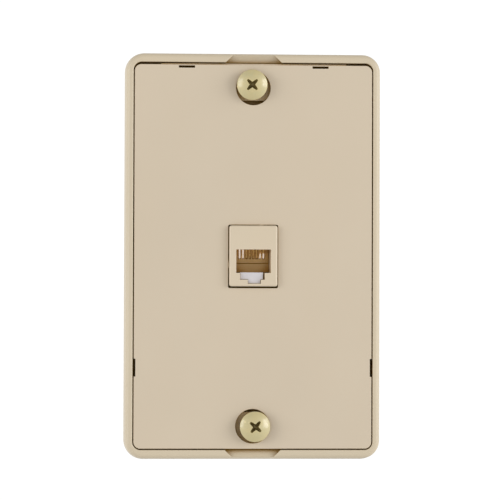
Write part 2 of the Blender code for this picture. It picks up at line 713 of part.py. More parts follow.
def make_terminal_board(material):
    outline = rounded_rect(BOARD_HALF_X, BOARD_HALF_Z, BOARD_CORNER)
    board = plate("terminal_board", outline, BOARD_FRONT, BOARD_BACK, material)
    pocket = rounded_rect(FLANGE_X + GAP, FLANGE_Z + GAP, JACK_CORNER)
    cut(board, plate("cutter_flange_pocket", pocket, BOARD_FRONT - PAST, BOARD_FRONT + FLANGE_THICK + GAP))
    way = jack_section(JACK_HALF_X, JACK_HALF_Z, JACK_CLEARANCE)
    cut(board, plate("cutter_board_way", way, BOARD_FRONT - PAST, BOARD_BACK + PAST))
    for index, (sx, sz) in enumerate(lead_exits()):
        hole = circle(TERMINAL_HOLE, (sx * TERMINAL_X, sz * TERMINAL_Z), SMALL_STEPS)
        cut(board, plate(f"cutter_terminal_{index}", hole, BOARD_FRONT - PAST, BOARD_BACK + PAST))
    for side in (-1, 1):
        hole = circle(PILOT, (0.0, side * BOARD_SCREW_Z), SMALL_STEPS)
        cut(board, plate(f"cutter_board_screw_{side}", hole, BOARD_FRONT - PAST, BOARD_BACK + PAST))
    return board


def make_board_screw(name, side, material):
    centre = (0.0, side * BOARD_SCREW_Z)
    seat = BOARD_BACK + FINE_GAP
    head = (BOARD_SCREW_HEAD, BOARD_SCREW_HEIGHT, BOARD_SCREW_SHANK)
    screw = pan_screw(name, centre, seat, *head, BOARD_SCREW_END, material)
    top = seat + BOARD_SCREW_HEIGHT - SMALL_DRIVE_SINK
    recess = cross_recess(f"cutter_drive_{name}", centre, top, 20, 1.2 * MM, 0.28 * MM, -0.9 * MM)
    cut(screw, recess)
    return screw


def fork_outline(centre, inward):
    """A fork open away from the jack: half circles on the inner side and straight prongs outside."""
    points = []
    for radius, order in ((LUG_OUTER, range(0, 13)), (TERMINAL_HOLE, range(12, -1, -1))):
        arc = []
        for step in order:
            angle = math.pi * step / 12
            x = centre[0] + radius * math.cos(angle)
            z = centre[1] + inward * radius * math.sin(angle)
            arc.append((x, z))
        tip = centre[1] - inward * LUG_PRONG
        points += [(arc[0][0], tip), *arc, (arc[-1][0], tip)]
    return points


def make_lug(name, sx, sz, material):
    """A spade lug under a terminal screw, with a crimped barrel round the lead."""
    centre = (sx * TERMINAL_X, sz * TERMINAL_Z)
    lug = plate(name, fork_outline(centre, -sz), LUG_FRONT, LUG_FRONT + LUG_THICK, material)
    near = sz * (TERMINAL_Z - LUG_OUTER + LUG_NECK_NEAR)
    far = sz * (BARREL_NEAR - LUG_NECK_FAR)
    neck_low = (centre[0] - LUG_NECK, LUG_FRONT, min(near, far))
    neck_high = (centre[0] + LUG_NECK, LUG_FRONT + LUG_THICK, max(near, far))
    join(lug, block(f"neck_{name}", neck_low, neck_high))
    join(lug, barrel(f"barrel_{name}", centre[0], sz, BARREL_OUTER, 0.0))
    cut(lug, barrel(f"cutter_{name}", centre[0], sz, BARREL_INNER, PAST))
    return lug


def barrel(name, x, sz, radius, past):
    """A cylinder along Z at the crimp, longer at its mouth by past."""
    mesh = bmesh.new()
    rings = []
    for height in (BARREL_NEAR, BARREL_FAR - past):
        ring = []
        for px, py in circle(radius, (x, BARREL_DEPTH), SMALL_STEPS):
            ring.append(mesh.verts.new((px, py, sz * height)))
        rings.append(ring)
    if past:
        for vertex in rings[0]:
            vertex.co.z -= sz * BARREL_MOUTH
    for index in range(SMALL_STEPS):
        after = (index + 1) % SMALL_STEPS
        mesh.faces.new((rings[0][index], rings[0][after], rings[1][after], rings[1][index]))
    mesh.faces.new(rings[0])
    mesh.faces.new(reversed(rings[1]))
    return add_object(name, mesh)


def make_washer(name, sx, sz, material):
    centre = (sx * TERMINAL_X, sz * TERMINAL_Z)
    outline = rounded_rect(WASHER_HALF, WASHER_HALF, WASHER_CORNER, centre)
    washer = plate(name, outline, WASHER_FRONT, WASHER_FRONT + WASHER_THICK, material)
    hole = circle(TERMINAL_HOLE, centre, SMALL_STEPS)
    cut(washer, plate(f"cutter_{name}", hole, WASHER_FRONT - PAST, WASHER_FRONT + PAST))
    return washer


def make_terminal_screw(name, sx, sz, material):
    """A terminal screw, with its origin on its own axis."""
    axis = bpy.data.objects.new(f"axis_{name}", None)
    axis.location = (sx * TERMINAL_X, TERMINAL_SEAT, sz * TERMINAL_Z)
    bpy.context.scene.collection.objects.link(axis)
    height = TERMINAL_HEAD_HEIGHT
    end = BOARD_FRONT + TERMINAL_RISE - TERMINAL_SEAT
    screw = pan_screw(name, (0, 0), 0.0, TERMINAL_HEAD, height, TERMINAL_SHANK, end, material)
    top = height - SMALL_DRIVE_SINK
    recess = cross_recess(f"cutter_drive_{name}", (0, 0), top, 35, 1.5 * MM, 0.32 * MM, -1.1 * MM)
    cut(screw, recess)
    screw.parent = axis
    recess.parent = axis
    return screw


def lead_route(sx, sz):
    """A lead's own points, from inside its lug's barrel back to its hole in the rear cap."""
    mouth = BARREL_DEPTH
    knots = [
        (TERMINAL_X, mouth, 4.7 * MM),
        (TERMINAL_X, mouth, 3.3 * MM),
        (TERMINAL_X - 0.4 * MM, mouth + 1.0 * MM, 1.9 * MM),
        (TERMINAL_X - 1.9 * MM, mouth + 3.3 * MM, 1.3 * MM),
        (10.2 * MM, 11.0 * MM, 1.6 * MM),
        (6.9 * MM, 13.0 * MM, 2.3 * MM),
        (4.3 * MM, 13.4 * MM, 2.9 * MM),
        (LEAD_X + 0.3 * MM, 12.4 * MM, LEAD_Z - 0.1 * MM),
        (LEAD_X, 10.9 * MM, LEAD_Z),
        (LEAD_X, CAP_FRONT + 0.3 * MM, LEAD_Z),
    ]
    return [Vector((sx * x, y, sz * z)) for x, y, z in knots]


def smooth_route(knots, steps=3):
    """A smooth curve through the knots, sampled evenly between each two."""
    padded = [knots[0] * 2 - knots[1], *knots, knots[-1] * 2 - knots[-2]]
    points = []
    for before, start, end, after in zip(padded, padded[1:], padded[2:], padded[3:]):
        for step in range(steps):
            t = step / steps
            pull = (end - before) * t + (before * 2 - start * 5 + end * 4 - after) * t * t
            turn = (start * 3 - before - end * 3 + after) * t**3
            points.append(start + (pull + turn) / 2)
    points.append(knots[-1])
    return points


def make_terminals(screw_material, washer_material, lug_material, lead_materials):
    for index, (sx, sz) in enumerate(lead_exits()):
        number = index + 1
        make_terminal_screw(f"terminal_screw_{number}", sx, sz, screw_material)
        make_washer(f"terminal_washer_{number}", sx, sz, washer_material)
        make_lug(f"spade_lug_{number}", sx, sz, lug_material)
        colour, material = lead_materials[index]
        tube(f"lead_{colour}", smooth_route(lead_route(sx, sz)), LEAD_RADIUS, material)


def main():
    clear_scene()
    ivory = make_material("ivory_plastic", (0.62, 0.53, 0.40), 0.45)
    rim_ivory = make_material("rim_ivory", (0.66, 0.55, 0.41), 0.42)
    tan = make_material("tan_plastic", (0.50, 0.41, 0.28), 0.5)
    white = make_material("white_plastic", (0.74, 0.73, 0.78), 0.4)
    yellow_zinc = make_material("yellow_zinc", (0.60, 0.52, 0.28), 0.3, 1.0)
    steel = make_material("zinc_steel", (0.55, 0.55, 0.53), 0.35, 1.0)
    brass = make_material("brass", (0.66, 0.50, 0.22), 0.3, 1.0)
    gold = make_material("gold_plate", (0.83, 0.64, 0.33), 0.2, 1.0)
    leads = [
        ("black", make_material("black_pvc", (0.02, 0.02, 0.02), 0.45)),
        ("red", make_material("red_pvc", (0.45, 0.03, 0.02), 0.45)),
        ("yellow", make_material("yellow_pvc", (0.62, 0.45, 0.03), 0.45)),
        ("green", make_material("green_pvc", (0.03, 0.25, 0.06), 0.45)),
    ]
    make_base_frame(rim_ivory)
    make_face_panel(ivory)
    for place, side, tilt in (("top", 1, 45), ("bottom", -1, 50)):
        make_stud(f"{place}_stud", side, tilt, yellow_zinc)
        make_nut(f"{place}_stud_nut", side, steel)
        make_box_screw(f"{place}_box_screw", side, steel)
        make_board_screw(f"{place}_board_screw", side, steel)
    make_jack_housing(ivory)
    make_latch_insert(white)
    make_contact_carrier(tan)
    make_contacts(gold)
    make_rear_cap(ivory)
    make_terminal_board(ivory)
    make_terminals(brass, steel, brass, leads)


main()
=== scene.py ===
"""Looks for the wall-telephone plate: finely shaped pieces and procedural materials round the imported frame.

X is the width, Z the height and Y the depth; the front faces -Y and the wall plane is Y = 0.
"""

import json
import math

import bmesh
import bpy
from mathutils import Matrix, Vector


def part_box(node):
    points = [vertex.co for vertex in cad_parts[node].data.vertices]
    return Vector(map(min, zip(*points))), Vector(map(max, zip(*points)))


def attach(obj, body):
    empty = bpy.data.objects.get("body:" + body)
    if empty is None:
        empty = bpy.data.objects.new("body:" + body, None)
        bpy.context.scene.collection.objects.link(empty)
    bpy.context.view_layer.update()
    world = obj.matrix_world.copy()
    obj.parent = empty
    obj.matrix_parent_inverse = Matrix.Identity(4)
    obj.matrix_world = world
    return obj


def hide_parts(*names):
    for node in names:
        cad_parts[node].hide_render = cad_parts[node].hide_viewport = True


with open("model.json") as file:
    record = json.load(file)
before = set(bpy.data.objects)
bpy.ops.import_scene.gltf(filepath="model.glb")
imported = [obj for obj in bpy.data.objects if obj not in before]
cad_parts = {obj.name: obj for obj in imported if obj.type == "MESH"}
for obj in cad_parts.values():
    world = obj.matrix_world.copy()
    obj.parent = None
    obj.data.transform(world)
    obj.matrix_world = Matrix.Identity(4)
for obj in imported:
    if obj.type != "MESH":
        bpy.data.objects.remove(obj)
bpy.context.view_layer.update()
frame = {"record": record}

MM = 0.001
CORNER_STEPS = 14  # segments in a quarter circle of an outline
EDGE_STEPS = 6  # segments in a rounded edge
BACK_EDGE_STEPS = 3
ROUND = 96  # segments round a turned piece
SMALL_ROUND = 48
PAST = 1.0 * MM  # how far a cutter runs past the wall it cuts
SINK = 0.5 * MM  # how far a boss or leg runs into the wall it stands on
TIP_RADIUS = 0.02 * MM  # of a turned piece's first ring

BODY_OF = {
    node: body
    for body, nodes in frame["record"]["behaviour"]["bodies"].items()
    for node in nodes
}
SLOT_OF = {part["node"]: part["material_slot"] for part in frame["record"]["subparts"]}


# ---------------------------------------------------------------- shapes


def rounded_rect(half_x, half_z, radius, centre=(0.0, 0.0), steps=CORNER_STEPS):
    """Points of a rounded rectangle in the XZ plane, anticlockwise."""
    points = []
    for turn, (sign_x, sign_z) in enumerate(((1, 1), (-1, 1), (-1, -1), (1, -1))):
        corner_x = centre[0] + sign_x * (half_x - radius)
        corner_z = centre[1] + sign_z * (half_z - radius)
        for step in range(steps + 1):
            angle = math.radians(90 * (turn + step / steps))
            points.append((corner_x + radius * math.cos(angle), corner_z + radius * math.sin(angle)))
    return points


def circle(radius, centre=(0.0, 0.0), steps=ROUND):
    angles = [math.tau * step / steps for step in range(steps)]
    return [(centre[0] + radius * math.cos(a), centre[1] + radius * math.sin(a)) for a in angles]


def placed(name, data):
    obj = bpy.data.objects.new(name, data)
    bpy.context.scene.collection.objects.link(obj)
    return obj


def add_object(name, mesh):
    data = bpy.data.meshes.new(name)
    bmesh.ops.recalc_face_normals(mesh, faces=mesh.faces)
    mesh.to_mesh(data)
    mesh.free()
    return placed(name, data)


def skinned(name, rings):
    """A closed solid through rings with equally many points."""
    mesh = bmesh.new()
    loops = [[mesh.verts.new(point) for point in ring] for ring in rings]
    for near, far in zip(loops, loops[1:]):
        for index in range(len(near)):
            after = (index + 1) % len(near)
            mesh.faces.new((near[index], near[after], far[after], far[index]))
    mesh.faces.new(loops[0])
    mesh.faces.new(reversed(loops[-1]))
    return add_object(name, mesh)


def lofted(name, sections):
    """A closed solid through outlines in the XZ plane: sections are (depth, outline)."""
    return skinned(name, [[(x, depth, z) for x, z in outline] for depth, outline in sections])


def plate(name, outline, front, back):
    return lofted(name, [(front, outline), (back, outline)])


def block(name, low, high):
    """A box between two corners, given in either order on each axis."""
    (left, right), (front, back), (foot, top) = (sorted(pair) for pair in zip(low, high))
    return plate(name, [(left, foot), (right, foot), (right, top), (left, top)], front, back)


def slab(name, x, half, front, back, foot, top):
    """A block that reaches equally far to both sides of x."""
    return block(name, (x - half, front, foot), (x + half, back, top))


def quarter(steps=EDGE_STEPS):
    """(how far in, how far back) along a quarter-circle edge of radius 1, from the front to the side."""
    angles = [math.radians(90 * step / steps) for step in range(steps + 1)]
    return [(1 - math.sin(angle), 1 - math.cos(angle)) for angle in angles]


def soft_block(
    name, half_x, half_z, corner, front, back, edge, draft=0.0, back_edge=0.0, centre=(0.0, 0.0)
):
    """A rounded block with a quarter-circle front edge, and perhaps one behind."""

    def outline(inset):
        return rounded_rect(half_x - inset, half_z - inset, corner - inset, centre)

    sections = [(front + edge * along, outline(draft + edge * across)) for across, along in quarter()]
    if not back_edge:
        return lofted(name, [*sections, (back, outline(0.0))])
    for across, along in reversed(quarter(BACK_EDGE_STEPS)):
        sections.append((back - back_edge * along, outline(back_edge * across)))
    return lofted(name, sections)


def soft_hole(name, half_x, half_z, corner, front, back, edge, centre=(0.0, 0.0)):
    """A cutter whose mouth at the front leaves a rounded edge on the wall it cuts."""

    def outline(grow):
        return rounded_rect(half_x + grow, half_z + grow, corner + grow, centre)

    sections = [(front - PAST, outline(edge))]
    sections += [(front + edge * along, outline(edge * across)) for across, along in quarter()]
    return lofted(name, [*sections, (back, outline(0.0))])


def turned(name, profile, centre=(0.0, 0.0), steps=ROUND):
    """A solid turned about an axis along Y: profile is (radius, depth)."""
    return lofted(name, [(depth, circle(radius, centre, steps)) for radius, depth in profile])


def apply_modifiers(obj):
    graph = bpy.context.evaluated_depsgraph_get()
    data = bpy.data.meshes.new_from_object(obj.evaluated_get(graph))
    obj.modifiers.clear()
    obj.data = data


def boolean(obj, other, operation):
    modifier = obj.modifiers.new(operation.lower(), "BOOLEAN")
    modifier.operation = operation
    modifier.solver = "EXACT"
    modifier.material_mode = "TRANSFER"
    modifier.object = other
    apply_modifiers(obj)
    bpy.data.objects.remove(other)


def cut(obj, *cutters):
    for cutter in cutters:
        boolean(obj, cutter, "DIFFERENCE")


def join(obj, *pieces):
    for piece in pieces:
        boolean(obj, piece, "UNION")


def drill(obj, radius, centre, low, high):
    """A round hole along Y, right through a piece whose box is low and high."""
    cut(obj, plate("hole", circle(radius, centre, SMALL_ROUND), low.y - PAST, high.y + PAST))


def soften(obj, width, angle=40, segments=2):
    """Rounds the edges that are still sharp."""
    modifier = obj.modifiers.new("edge", "BEVEL")
    modifier.width = width
    modifier.segments = segments
    modifier.limit_method = "ANGLE"
    modifier.angle_limit = math.radians(angle)
    modifier.use_clamp_overlap = True
    apply_modifiers(obj)


def smooth(obj, angle):
    obj.data.shade_smooth()
    obj.data.set_sharp_from_angle(angle=math.radians(angle))
    modifier = obj.modifiers.new("weighted", "WEIGHTED_NORMAL")
    modifier.keep_sharp = True
    modifier.weight = 100
    apply_modifiers(obj)


def swept(name, points, radius, steps):
    """A round bar along a smooth route, with domed ends."""
    points = [Vector(point) for point in points]
    tangents = []
    for index in range(len(points)):
        before = points[max(index - 1, 0)]
        after = points[min(index + 1, len(points) - 1)]
        tangents.append((after - before).normalized())
    side = tangents[0].orthogonal().normalized()
    rows = []
    for point, tangent in zip(points, tangents):
        side = (side - tangent * side.dot(tangent)).normalized()
        rows.append((point, tangent, side, radius))
    rows = dome(rows[0], -1) + rows + list(reversed(dome(rows[-1], 1)))
    rings = []
    for point, tangent, along, size in rows:
        across = tangent.cross(along)
        angles = [math.tau * step / steps for step in range(steps)]
        rings.append([point + (along * math.cos(a) + across * math.sin(a)) * size for a in angles])
    return skinned(name, rings)


def dome(row, sign, steps=4):
    """Rows of a half-ball end, from its tip inwards."""
    point, tangent, side, radius = row
    rows = []
    for step in range(1, steps + 1):
        angle = math.radians(90 * step / (steps + 1))
        tip = point + tangent * sign * radius * math.cos(angle)
        rows.append((tip, tangent, side, radius * math.sin(angle)))
    return rows


def smooth_route(knots, steps=8):
    """A smooth curve through the knots, sampled evenly between each two."""
    knots = [Vector(knot) for knot in knots]
    padded = [knots[0] * 2 - knots[1], *knots, knots[-1] * 2 - knots[-2]]
    points = []
    for before, start, end, after in zip(padded, padded[1:], padded[2:], padded[3:]):
        for step in range(steps):
            t = step / steps
            pull = (end - before) * t + (before * 2 - start * 5 + end * 4 - after) * t * t
            turn = (start * 3 - before - end * 3 + after) * t**3
            points.append(start + (pull + turn) / 2)
    points.append(knots[-1])
    return points


THREAD_DEPTH = 0.6  # of its pitch
THREAD_ROWS = 8  # rows of points in one turn of a thread
THREAD_FADE = 6  # rows in which a thread runs in and out


def threaded(name, head, centre, start, end, major, pitch, tip, steps=SMALL_ROUND):
    """A screw in one skin: a turned head, then a helical thread from start to end, then a turned tip."""
    direction = 1 if end > start else -1
    rows = [(depth, [radius] * steps) for radius, depth in head]
    count = int(abs(end - start) / pitch * THREAD_ROWS)
    for index in range(count + 1):
        depth = start + (end - start) * index / count
        fade = min(1.0, index / THREAD_FADE, (count - index) / THREAD_FADE)
        radii = []
        for step in range(steps):
            turn = (depth - start) * direction / pitch - step / steps * direction
            phase = abs((turn % 1.0) * 2 - 1)
            crest = min(1.0, max(0.0, phase * 1.25 - 0.1))
            radii.append(major - THREAD_DEPTH * pitch * (1 - crest) * fade)
        rows.append((depth, radii))
    rows += [(depth, [radius] * steps) for radius, depth in tip]
    sections = []
    for depth, radii in rows:
        outline = []
        for step, radius in enumerate(radii):
            angle = math.tau * step / steps
            outline.append((centre[0] + radius * math.cos(angle), centre[1] + radius * math.sin(angle)))
        sections.append((depth, outline))
    return lofted(name, sections)


def cross_outline(length, width, tilt):
    """A cross drive's outline: four arms with rounded tips."""
    points = []
    for arm in range(4):
        angle = math.radians(90 * arm + tilt)
        along = Vector((math.cos(angle), math.sin(angle)))
        aside = Vector((-along.y, along.x))
        for step in range(5):
            sweep = math.radians(-80 + 40 * step)
            reach = length - width * 0.7 * (1 - math.cos(sweep))
            points.append(along * reach + aside * width * 0.82 * math.sin(sweep))
        points.append((along + aside) * width * 1.3)
    return points


def cross_recess(name, centre, front, tilt, length, width, depth):
    """A cutter for a cross drive, tapering to its bottom. A negative depth cuts from behind."""
    direction = 1 if depth > 0 else -1
    outline = cross_outline(length, width, tilt)
    levels = ((-direction * PAST, 1.06), (0.0, 1.0), (depth * 0.5, 0.72), (depth, 0.34))
    sections = []
    for along, scale in levels:
        points = [(centre[0] + scale * p.x, centre[1] + scale * p.y) for p in outline]
        sections.append((front + along, points))
    return lofted(name, sections)


# ---------------------------------------------------------------- materials


class Nodes:
    """A small helper that wires up the nodes of a material or a world."""

    def __init__(self, owner, coordinates):
        owner.use_nodes = True
        self.tree = owner.node_tree
        self.place = self.add("ShaderNodeTexCoord").outputs[coordinates]

    def add(self, kind, **values):
        node = self.tree.nodes.new(kind)
        for key, value in values.items():
            setattr(node, key, value)
        return node

    def link(self, source, target):
        self.tree.links.new(source, target)

    def feed(self, node, **inputs):
        """Sets a node's inputs, or links outputs to them; an underscore stands for a space."""
        for name, value in inputs.items():
            socket = node.inputs[name.replace("_", " ")]
            if isinstance(value, bpy.types.NodeSocket):
                self.link(value, socket)
            else:
                socket.default_value = value
        return node.outputs

    def noise(self, scale, detail=3.0, roughness=0.5, stretch=(1, 1, 1)):
        where = self.feed(self.add("ShaderNodeMapping"), Scale=stretch, Vector=self.place)["Vector"]
        node = self.add("ShaderNodeTexNoise")
        return self.feed(node, Scale=scale, Detail=detail, Roughness=roughness, Vector=where)["Fac"]

    def ranged(self, source, low, high, from_low=0.3, from_high=0.7, interpolation="LINEAR"):
        node = self.add("ShaderNodeMapRange", interpolation_type=interpolation)
        self.feed(node, From_Min=from_low, From_Max=from_high, To_Min=low, To_Max=high)
        return self.feed(node, Value=source)["Result"]

    def split(self):
        """X, Y and Z of the place on the surface, or of the direction in a world."""
        return self.feed(self.add("ShaderNodeSeparateXYZ"), Vector=self.place)

    def maths(self, operation, first, second=None):
        """One sum on one or two values; the second may be a plain number."""
        node = self.add("ShaderNodeMath", operation=operation)
        self.link(first, node.inputs[0])
        if isinstance(second, float):
            node.inputs[1].default_value = second
        elif second:
            self.link(second, node.inputs[1])
        return node.outputs["Value"]

    def mix(self, factor, first, second):
        """Mixes two colours, each a colour or an output."""
        node = self.add("ShaderNodeMix", data_type="RGBA")
        self.link(factor, node.inputs["Factor"])
        for value, socket in ((first, node.inputs[6]), (second, node.inputs[7])):
            if isinstance(value, tuple):
                socket.default_value = (*value, 1.0)
            else:
                self.link(value, socket)
        return node.outputs[2]

    def bump(self, height, strength, distance, under=None):
        node = self.add("ShaderNodeBump")
        if under:
            self.feed(node, Normal=under)
        return self.feed(node, Strength=strength, Distance=distance, Height=height)["Normal"]

    def pointiness(self, low, high):
        """0 in hollows and on flats, 1 on outer edges."""
        geometry = self.add("ShaderNodeNewGeometry")
        return self.ranged(geometry.outputs["Pointiness"], 0.0, 1.0, low, high)

    def painted_hollow_shade(self, reach, low, high):
        """0 in the open, 1 far inside gaps and holes and under overhangs: the mask for painted shade, dark
        and warm.
        """
        node = self.add("ShaderNodeAmbientOcclusion", samples=6)
        return self.ranged(self.feed(node, Distance=reach)["AO"], 1.0, 0.0, 1.0 - high, 1.0 - low)

    def outer_edge(self, reach):
        """1 along outer edges, where hands and packing rub, and 0 on flats."""
        node = self.add("ShaderNodeAmbientOcclusion", samples=4, inside=True, only_local=True)
        return self.ranged(self.feed(node, Distance=reach)["AO"], 1.0, 0.0, 0.45, 0.85)


class Surface(Nodes):
    """The nodes of a new material."""

    def __init__(self, name):
        self.material = bpy.data.materials.new(name)
        super().__init__(self.material, "Object")
        self.shader = self.tree.nodes["Principled BSDF"]

    def finish(self, colour, roughness, normal=None, **constants):
        self.feed(self.shader, Base_Color=colour, Roughness=roughness, **constants)
        if normal:
            self.feed(self.shader, Normal=normal)
        return self.material


def scaled(colour, factor):
    return tuple(min(1.0, channel * factor) for channel in colour)


def moulded_plastic(name, colour, roughness, grain=0.10, shine=0.5):
    """Injection-moulded plastic: a fine spark-eroded grain, faint flow shading, paler worn edges, and painted
    shade that darkens and warms gaps and holes.
    """
    n = Surface(name)
    cloud = n.noise(26.0, detail=4.0)
    flow = n.noise(70.0, detail=2.0, stretch=(1.0, 1.0, 0.25))
    tone = n.mix(n.ranged(cloud, 0.0, 1.0), scaled(colour, 0.975), scaled(colour, 1.02))
    tinted = n.mix(n.ranged(flow, 0.0, 0.35), tone, (colour[0] * 1.01, colour[1] * 0.985, colour[2] * 0.95))
    wear_and_painted_shade = n.mix(n.outer_edge(0.4 * MM), tinted, scaled(colour, 1.1))
    # Painted shade: gaps, holes and the panel under the studs' heads turn dark and warm.
    painted_shade_colour = (colour[0] * 0.56, colour[1] * 0.38, colour[2] * 0.09)
    painted_hollow_shade = n.painted_hollow_shade(4.0 * MM, 0.36, 0.7)
    wear_and_painted_shade = n.mix(painted_hollow_shade, wear_and_painted_shade, painted_shade_colour)
    # The painted shade also takes out the specular reflection in gaps and holes.
    n.feed(n.shader, Specular_IOR_Level=n.ranged(painted_hollow_shade, shine, 0.0, 0.0, 1.0))
    fine = n.noise(5200.0, detail=2.0)
    coarse = n.noise(1500.0, detail=3.0)
    rough = n.ranged(coarse, roughness - 0.05, roughness + 0.07)
    normal = n.bump(coarse, grain * 0.6, 0.00004, n.bump(fine, grain, 0.00002))
    return n.finish(wear_and_painted_shade, rough, normal)


def smooth_plastic(name, colour, roughness):
    """Smooth white plastic with a faint cloudiness."""
    n = Surface(name)
    cloud = n.noise(600.0, detail=3.0)
    tone = n.mix(n.ranged(cloud, 0.0, 1.0), scaled(colour, 0.97), scaled(colour, 1.03))
    rough = n.ranged(n.noise(1500.0), roughness - 0.05, roughness + 0.05)
    return n.finish(tone, rough, n.bump(n.noise(2400.0), 0.04, 0.00003))


def plated_metal(name, colour, tint, roughness, turned_at=None, scratch=0.12, metallic=1.0, coat=0.0):
    """Plated or machined metal: a cloudy tint, fine scratches, and rings where it was turned."""
    n = Surface(name)
    cloud = n.noise(420.0, detail=5.0, roughness=0.6)
    streak = n.noise(900.0, detail=4.0, stretch=(1.0, 0.15, 1.0))
    tone = n.mix(n.ranged(cloud, 0.0, 1.0, 0.35, 0.68), colour, tint)
    edge = n.mix(n.pointiness(0.53, 0.66), tone, scaled(colour, 1.25))
    rough = n.ranged(streak, roughness - 0.06, roughness + 0.10)
    normal = n.bump(streak, scratch, 0.00002)
    if turned_at:
        normal = n.bump(turning_rings(n, turned_at), 0.18, 0.000015, normal)
    return n.finish(edge, rough, normal, Metallic=metallic, Coat_Weight=coat, Coat_Roughness=0.18)


def yellow_zinc(place, centre):
    """Yellow chromate over zinc: satin, with a cloudy tint and faint turning rings."""
    colour, tint = (0.63, 0.53, 0.265), (0.58, 0.51, 0.275)
    name = f"yellow zinc {place}"
    return plated_metal(name, colour, tint, 0.55, turned_at=centre, metallic=0.1, coat=1.0)


def contact_gold():
    """Gold-plated wire with painted light: a pale painted highlight and a painted glow on the outer pairs,
    the left pair all along and the right pair low down, and a faint painted glow on all the wires.
    """
    n = Surface("contact gold")
    place = n.split()
    # Mask of the painted highlight: the outer pairs, the left pair all along and the right pair low down.
    aside = n.maths("ABSOLUTE", place["X"])
    outer = n.ranged(aside, 0.0, 1.0, 2.2 * MM, 2.4 * MM)
    left = n.maths("LESS_THAN", place["X"], 0.0)
    low = n.ranged(place["Z"], 1.0, 0.0, 0.6 * MM, 1.1 * MM)
    bright = n.maths("MULTIPLY", outer, n.maths("MAXIMUM", left, low))
    cloud = n.noise(900.0, detail=4.0)
    plain_gold = n.mix(n.ranged(cloud, 0.0, 1.0), (0.60, 0.42, 0.18), (0.72, 0.52, 0.25))
    # Painted highlight: a pale colour on the masked lengths.
    tone = n.mix(bright, plain_gold, (0.93, 0.84, 0.72))
    # Painted glow: faint on every wire, stronger on the masked lengths.
    painted_glow = n.mix(bright, (0.95, 0.58, 0.20), (0.95, 0.83, 0.72))
    n.feed(n.shader, Emission_Color=painted_glow, Emission_Strength=n.ranged(bright, 0.16, 0.55, 0.0, 1.0))
    rough = n.ranged(cloud, 0.22, 0.36)
    return n.finish(tone, rough, n.bump(cloud, 0.04, 0.00002), Metallic=0.6)


def turning_rings(n, centre):
    """Height of fine rings about an axis along Y through this (x, z) place."""
    shift = n.add("ShaderNodeVectorMath", operation="SUBTRACT")
    shift.inputs[1].default_value = (centre[0], 0.0, centre[1])
    n.link(n.place, shift.inputs[0])
    flat = n.add("ShaderNodeVectorMath", operation="MULTIPLY")
    flat.inputs[1].default_value = (1.0, 0.0, 1.0)
    n.link(shift.outputs["Vector"], flat.inputs[0])
    length = n.add("ShaderNodeVectorMath", operation="LENGTH")
    n.link(flat.outputs["Vector"], length.inputs[0])
    spacing = 0.11 * MM
    return n.maths("SINE", n.maths("MULTIPLY", length.outputs["Value"], math.tau / spacing))


def cable_skin(name, colour):
    """Extruded PVC insulation: smooth, slightly uneven, with a dull sheen."""
    n = Surface(name)
    cloud = n.noise(380.0, detail=3.0)
    tone = n.mix(n.ranged(cloud, 0.0, 1.0), scaled(colour, 0.88), scaled(colour, 1.12))
    rough = n.ranged(n.noise(900.0), 0.36, 0.52)
    return n.finish(tone, rough, n.bump(n.noise(1600.0), 0.12, 0.00003))


MATERIALS = {
    "rim_ivory": moulded_plastic("rim ivory", (0.65, 0.555, 0.405), 0.42, grain=0.07),
    "panel_ivory": moulded_plastic("panel ivory", (0.655, 0.555, 0.42), 0.5, grain=0.12),
    "jack_ivory": moulded_plastic("jack ivory", (0.69, 0.585, 0.435), 0.38, grain=0.05),
    # The carrier is ivory given a brighter, warmer colour: painted warm light bounced inside the socket.
    "carrier_tan": moulded_plastic("carrier tan", (0.93, 0.69, 0.33), 0.45, grain=0.05),
    "white_plastic": smooth_plastic("white plastic", (0.66, 0.63, 0.64), 0.35),
    # A dark olive for the inside of the studs' cross drives: painted shade.
    "recess": plated_metal("shaded recess", (0.26, 0.20, 0.07), (0.20, 0.15, 0.05), 0.5, metallic=0.2),
    "zinc_steel": plated_metal("zinc steel", (0.60, 0.61, 0.60), (0.50, 0.52, 0.54), 0.34),
    "terminal_brass": plated_metal("terminal brass", (0.74, 0.57, 0.27), (0.62, 0.46, 0.20), 0.28),
    "contact_gold": contact_gold(),
    "lead_black": cable_skin("black insulation", (0.016, 0.016, 0.017)),
    "lead_red": cable_skin("red insulation", (0.42, 0.02, 0.018)),
    "lead_yellow": cable_skin("yellow insulation", (0.66, 0.47, 0.03)),
    "lead_green": cable_skin("green insulation", (0.02, 0.20, 0.05)),
}


def stands_for(obj, node, angle=32):
    """Smooths a finished piece and gives it its material, and what carries gives it."""
    smooth(obj, angle)
    obj.data.materials.clear()
    obj.data.materials.append(MATERIALS[SLOT_OF[node]])
    carries(obj, node)


def carries(obj, node):
    """Gives a piece its body and the CAD node it replaces."""
    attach(obj, BODY_OF[node])
    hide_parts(node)


def middle(node):
    low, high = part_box(node)
    return (low + high) / 2


def axis_of(node):
    """X and Z of the line along Y through a node's middle."""
    low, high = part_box(node)
    return (low.x + high.x) / 2, (low.z + high.z) / 2


# ---------------------------------------------------------------- base frame

